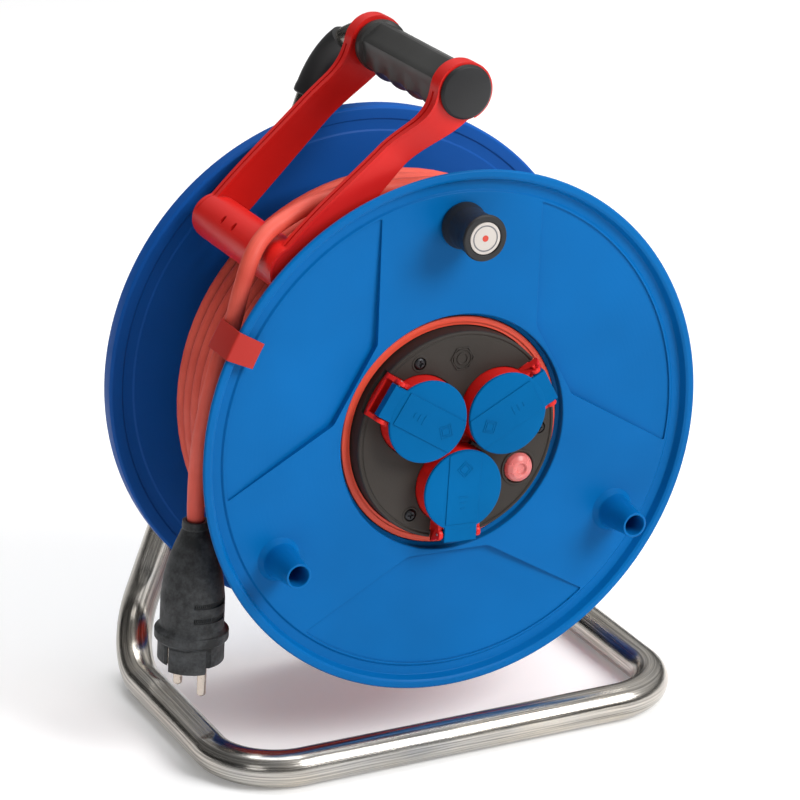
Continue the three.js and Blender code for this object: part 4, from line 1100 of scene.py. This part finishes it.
def plug_body():
    profile = rounded([
        (0, -0.6), (4.7, -0.6), (5.3, 0.6, 0.4), (6.9, 0.6, 0.5), (7.1, -3.0, 0.4), (6.8, -3.8, 0.4),
        (9.8, -11.0, 9), (12.4, -18.0, 12), (14.5, -25.0, 14), (16.2, -33.0, 16), (17.2, -42.0, 16),
        (17.2, -57.6, 1.2), (18.4, -59.0, 0.6), (19.6, -59.6, 0.9), (19.6, -64.2, 0.9), (18.4, -65.0, 0.5),
        (17.6, -65.8, 0.5), (17.6, -76.2, 0.5), (16.9, -77.0, 0.5), (15.2, -77.0, 0.3), (15.0, -76.0),
        (0, -76.0)], 6)
    bm = upright(lathe(profile, 160))
    lip_profile = rounded([(14.9, -80.0, 0.3), (17.7, -80.0, 0.5), (17.9, -66.5, 0.4), (14.9, -66.5)])
    lip = upright(lathe(lip_profile, 160))
    wedge = box((6.0, -9.8, -82.0), (21.0, 9.8, -65.0))
    bm = join(bm, combined(lip, [turned(wedge, LIP_ANGLE, "Z")], "INTERSECT"))
    tools = []
    for side in (-1, 1):
        tools.append(moved(upright(rod(2.75, -79, -60, 0, 0, 32)), 0, side * PIN_OUT, 0))
        groove = box((12.6, side * 11.0 - 1.1, -82), (21, side * 11.0 + 1.1, -66.2))
        tools.append(turned(groove, LIP_ANGLE, "Z"))
        x = side * EARTH_OUT
        tools.append(box((x - 0.9, -3.0, -79), (x + 0.9, 3.0, -66.3)))
    for middle in (-41.6, -49.8):
        low, high = middle - 1.5, middle + 1.5
        ring = upright(hoop(16.3, 19, low, high, 160))
        wedge = turned(prism([(0, 0), polar(30, -4), polar(32, -40), polar(30, -76)], -60, -30), 90, "X")
        tools.append(combined(ring, [turned(wedge, GRIP_ANGLE, "Z")], "INTERSECT"))
        ring = upright(hoop(15.6, 19, low + 0.5, high - 0.5, 160))
        knurl = [turned(box((14, -0.28, low), (19, 0.28, high)), KNURL_FROM + KNURL_STEP * k, "Z")
                 for k in range(17)]
        tools.append(combined(ring, [merged(*knurl)], "INTERSECT"))
    bm = cut(bm, *tools)
    for v in bm.verts:
        grow = smoothstep((-v.co.z - 20) / 15) * (1 - smoothstep((-v.co.z - 58) / 1.5))
        v.co.x *= 1 - 0.04 * grow
        v.co.y *= 1 + 0.015 * grow
    return piece("plug_moulding", plug_place(bm), PLUG_RUBBER, "plug_body", 34)


plug_parts = [plug_body()]
for k, side in enumerate((1, -1)):
    pin = upright(lathe(rounded([(0, -56.3), (2.4, -56.3), (2.4, -94.6, 1.3), (0, -96.0)], 8), 48))
    moved(pin, 0, side * PIN_OUT, 0)
    plug_parts.append(piece("contact_pin_%d" % (k + 1), plug_place(pin), NICKEL, "plug_pin_%d" % (k + 1)))
    x = side * EARTH_OUT
    blade = bevelled(box((x - 0.65, -2.8, -76.4), (x + 0.65, 2.8, -66.5)), 0.3)
    plug_parts.append(piece("earth_blade_%d" % (k + 1), plug_place(blade), NICKEL, "plug_earth_%d" % (k + 1)))


# ---------- socket panel ----------

def screw_rods(radius, y0, y1, steps=24):
    """A rod on each of the panel's screws."""
    return [rod(radius, y0, y1, *polar(PANEL_SCREW_R, angle), steps) for angle in PANEL_SCREW_ANGLES]


housing_profile = rounded([
    (57.8, 6.4), (59.4, 6.4), (59.5, 5.6, 0.2), (62.6, 5.6, 0.6), (62.6, 8.4), (61.6, 9.2), (61.6, 62.0),
    (0, 62.0), (0, 59.6), (59.2, 59.6), (59.2, 9.4), (57.8, 8.6)])
housing = lathe(housing_profile, 192)
housing = join(housing, *screw_rods(4.4, 12, 60, 40), rod(5, 22, 60))
holes = screw_rods(1.6, 11, 34) + [rod(1.6, 21, 40, steps=24)]
holes.append(turned(bar_along("X", INLET_R, 46, 76, INLET_Y, 0), INLET_ANGLE))
piece("panel_shell", cut(housing, *holes), RED_PANEL, "panel_housing", 30)


def panel_cover():
    profile = rounded([(0, -3.0), (54.2, -3.0), (54.6, -2.6), (55.2, -2.6), (55.6, -3.2, 0.2),
                       (56.6, -3.2, 0.5), (57.2, -2.4, 0.4), (57.2, 11), (55.2, 11), (55.2, -0.4), (0, -0.4)])
    bm = lathe(profile, 192)
    tools = [turned(rod(22.5, -6, 2, SOCKET_CIRCLE_R, 0, 128), angle) for angle in SOCKET_ANGLES]
    tools += [turned(box((SOCKET_CIRCLE_R + 17, -6, -12.5), (60, 2, 12.5)), angle) for angle in SOCKET_ANGLES]
    tools.append(rod(10, -6, 2, steps=64))
    for angle in PANEL_SCREW_ANGLES:
        x, z = polar(PANEL_SCREW_R, angle)
        tools += [rod(2.0, -6, 2, x, z), rod(3.5, -6, -1.8, x, z)]
    tools.append(rod(8.4, -6, 2, RESET_X, RESET_Z, 64))
    bm = cut(bm, *tools)
    rings = [lathe(rounded([(8.7, -2.9), (8.8, -3.7, 0.2), (10.0, -3.7, 0.3), (10.1, -2.9)]), 64,
                   RESET_X, RESET_Z)]
    x, z = polar(42.5, 87)
    rings += [hoop(a, b, -3.5, -2.9, sides, x, z)
              for a, b, sides in ((2.6, 3.3, 64), (4.7, 5.3, 64), (6.2, 6.9, 6))]
    for angle in PANEL_SCREW_ANGLES:
        x, z = polar(PANEL_SCREW_R, angle)
        rings.append(lathe(rounded([(3.5, -2.9), (3.5, -3.3), (4.5, -3.3, 0.2), (4.6, -2.9)]), 48, x, z))
    piece("panel_face", join(bm, *rings), PANEL, "panel_cover", 30)


panel_cover()


def socket_block():
    c = SOCKET_CIRCLE_R
    bm = prism([polar(54.6, 3 * k) for k in range(120)], 2.4, 5.0)
    bm = join(bm, rod(9.4, 1.6, 9.1, steps=64))
    for angle in SOCKET_ANGLES:
        collar = lathe(rounded([(0, -11.8), (22.0, -11.8, 0.6), (22.0, 9.1), (0, 9.1)]), 128, c)
        walls = [collar]
        for low in (-12.2, 9.8):
            ear = prism([(c + 18.4, 3.3), (c + 18.4, 11.8), (PIN_U, 11.8), (PIN_U + 3, 9.6), (57.1, 5.0),
                         (57.1, 3.3)], low, low + 2.4)
            walls.append(turned(ear, 90, "X"))
            walls.append(bar_along("Z", 3.0, low, low + 2.4, PIN_U, PIN_Y, 40, 0.3))
        walls.append(box((55.9, -5.0, -12.2), (57.1, -3.3, 12.2)))
        bm = join(bm, *[turned(wall, angle) for wall in walls])
    tools = []
    for angle in SOCKET_ANGLES:
        hollows = [lathe(rounded([(0, -14), (20.4, -14), (19.8, -11.2), (19.8, 6.5), (0, 6.5)]), 128, c),
                   bar_along("Z", 1.0, -14, 14, PIN_U, PIN_Y, 24)]
        for side in (-1, 1):
            x = c + side * 18.2
            hollows += [rod(2.55, 5, 12, c, side * PIN_OUT, 32), box((x - 1.1, 5, -3.6), (x + 1.1, 12, 3.6))]
        tools += [turned(hollow, angle) for hollow in hollows]
    tools += screw_rods(2.2, 0, 10)
    tools += [rod(9.9, 0, 10, RESET_X, RESET_Z, 64), rod(2.0, 0, 12, steps=24), rod(4.2, 0, 3.4)]
    piece("socket_insert", cut(bm, *tools), RED, "socket_block", 30)


socket_block()


MARK_TOP_Y, MARK_BASE_Y = -14.83, -14.5


def lid(k, angle):
    c, w = SOCKET_CIRCLE_R, TONGUE_HALF_W
    step_end, band_end = PIN_U + 3.7, PIN_U - 6.2

    def strip(u0, u1, y0, y1):
        return prism([(u0, -w), (u1, -w), (u1, w), (u0, w)], y0, y1)

    disc = lathe(rounded([
        (0, -14.2), (22.4, -14.2, 0.7), (22.4, -12.3, 0.4), (19.2, -12.3), (19.2, -10.1, 0.5),
        (17.2, -10.1, 0.5), (17.2, -12.3), (0, -12.3)]), 128, c)
    band = combined(strip(c - 24, band_end, -14.65, -13.9), [rod(22.0, -16, -12, c, 0, 128)], "INTERSECT")
    tongue = strip(c + 12, band_end, -14.65, -12.3)
    step = strip(PIN_U - 7, step_end, -14.1, -12.2)
    turned_end = prism(rounded([(PIN_U + 2.0, 14.1), (step_end, 14.1, 0.7), (step_end, 9.1, 0.4),
                                (PIN_U + 2.0, 9.1, 0.4)]), -w, w)
    bm = join(disc, band, tongue, step, turned(turned_end, 90, "X"))
    barrels = []
    for z0, z1 in ((-w, -2.8), (2.8, w)):
        barrels.append(bar_along("Z", 2.1, z0, z1, PIN_U, PIN_Y, 40, 0.2))
        barrels.append(box((PIN_U - 2.1, -13.0, z0), (PIN_U + 1.6, PIN_Y, z1)))
    bm = join(bm, *barrels)
    squares = [hoop(r, r + 0.6, MARK_TOP_Y, MARK_BASE_Y, 4, c - 12) for r in (2.6, 4.2)]
    bars = [box((c + 3 + 3.2 * i, MARK_TOP_Y, -2.6 + 0.7 * i),
                (c + 3.7 + 3.2 * i, MARK_BASE_Y, 2.6 - 0.7 * i)) for i in range(3)]
    bm = cut(join(bm, *squares, *bars), bar_along("Z", 0.95, -14, 14, PIN_U, PIN_Y, 24))
    piece("socket_cover_%d" % (k + 1), turned(bm, angle), LID_BLUE, "lid_%d" % (k + 1), 30)


for k, angle in enumerate(SOCKET_ANGLES):
    lid(k, angle)
    pin = bar_along("Z", 0.75, -12.3, 12.3, PIN_U, PIN_Y, 32, 0.2)
    piece("hinge_pin_%d" % (k + 1), turned(pin, angle), ZINC, "lid_pin_%d" % (k + 1))
    coil = []
    for i in range(73):
        x, y = polar(1.3, i * 15)
        coil.append(Vector((PIN_U + x, PIN_Y + y, -2.0 + 4.0 * i / 72)))
    spring = turned(sweep(coil, (0.25, 10), (0, 0, 1)), angle)
    piece("hinge_spring_%d" % (k + 1), spring, ZINC, "lid_spring_%d" % (k + 1))

for k, angle in enumerate(PANEL_SCREW_ANGLES):
    x, z = polar(PANEL_SCREW_R, angle)
    profile = [(0, -3.8), (2.2, -3.8, 1), (3.0, -3.2, 0.4), (3.0, -2.2), (1.3, -2.2), (1.3, 30), (0, 30)]
    head = lathe(rounded(profile), 48, x, z)
    screw = cross_recess(head, x, z, -3.8, 1.0, 1.7, 0.8)
    piece("face_screw_%d" % (k + 1), screw, BLACK_STEEL, "panel_screw_%d" % (k + 1))
profile = [(0, 1.2), (2.6, 1.2, 0.5), (3.5, 2.0, 0.5), (3.5, 3.0), (1.3, 3.0), (1.3, 36), (0, 36)]
head = lathe(rounded(profile), 48)
piece("middle_screw", cross_recess(head, 0, 0, 1.2, 1.2, 2.2, 0.9), BLACK_STEEL, "centre_screw")

cap = rounded([(0, -5.6), (2.4, -5.8, 0.3), (3.3, -7.1, 0.5), (5.0, -6.95, 0.8), (7.2, -5.4, 1.2),
               (8.0, -3.4, 0.8), (8.0, 0.0), (9.3, 0.0, 0.2), (9.3, 1.1), (0, 1.1)], 6)
piece("cutout_button", lathe(cap, 96, RESET_X, RESET_Z), CAP_PINK, "reset_cap")


# ---------- parts kept as drawn ----------

KEPT = {
    "thrust_washer": ZINC, "circlip": ZINC, "axle_bush": NATURAL, "knob_screw": ZINC, "contact_rail_1": BRASS,
    "contact_rail_2": BRASS, "earth_bridge": BRASS, "cutout_body": BLACK, "terminal_block": NATURAL,
    "inlet_clamp": BLACK, "cable_tail": SHEATH,
}
for name, material in KEPT.items():
    node = frame["nodes"][name]
    node.data.materials.clear()
    node.data.materials.append(material)
    soften = node.modifiers.new("round", "BEVEL")
    soften.width = 0.0002
    soften.segments = 2
    soften.limit_method = "ANGLE"

area_light("key", (1.3, -2.0, 1.8), (0, 0, 0.15), 1.3, 72)
area_light("fill", (-2.2, -1.9, 1.2), (0, 0, 0.15), 1.0, 6)
area_light("top", (0.2, 0.3, 2.4), (0, 0, 0.1), 1.6, 34)
world_light()
stage()
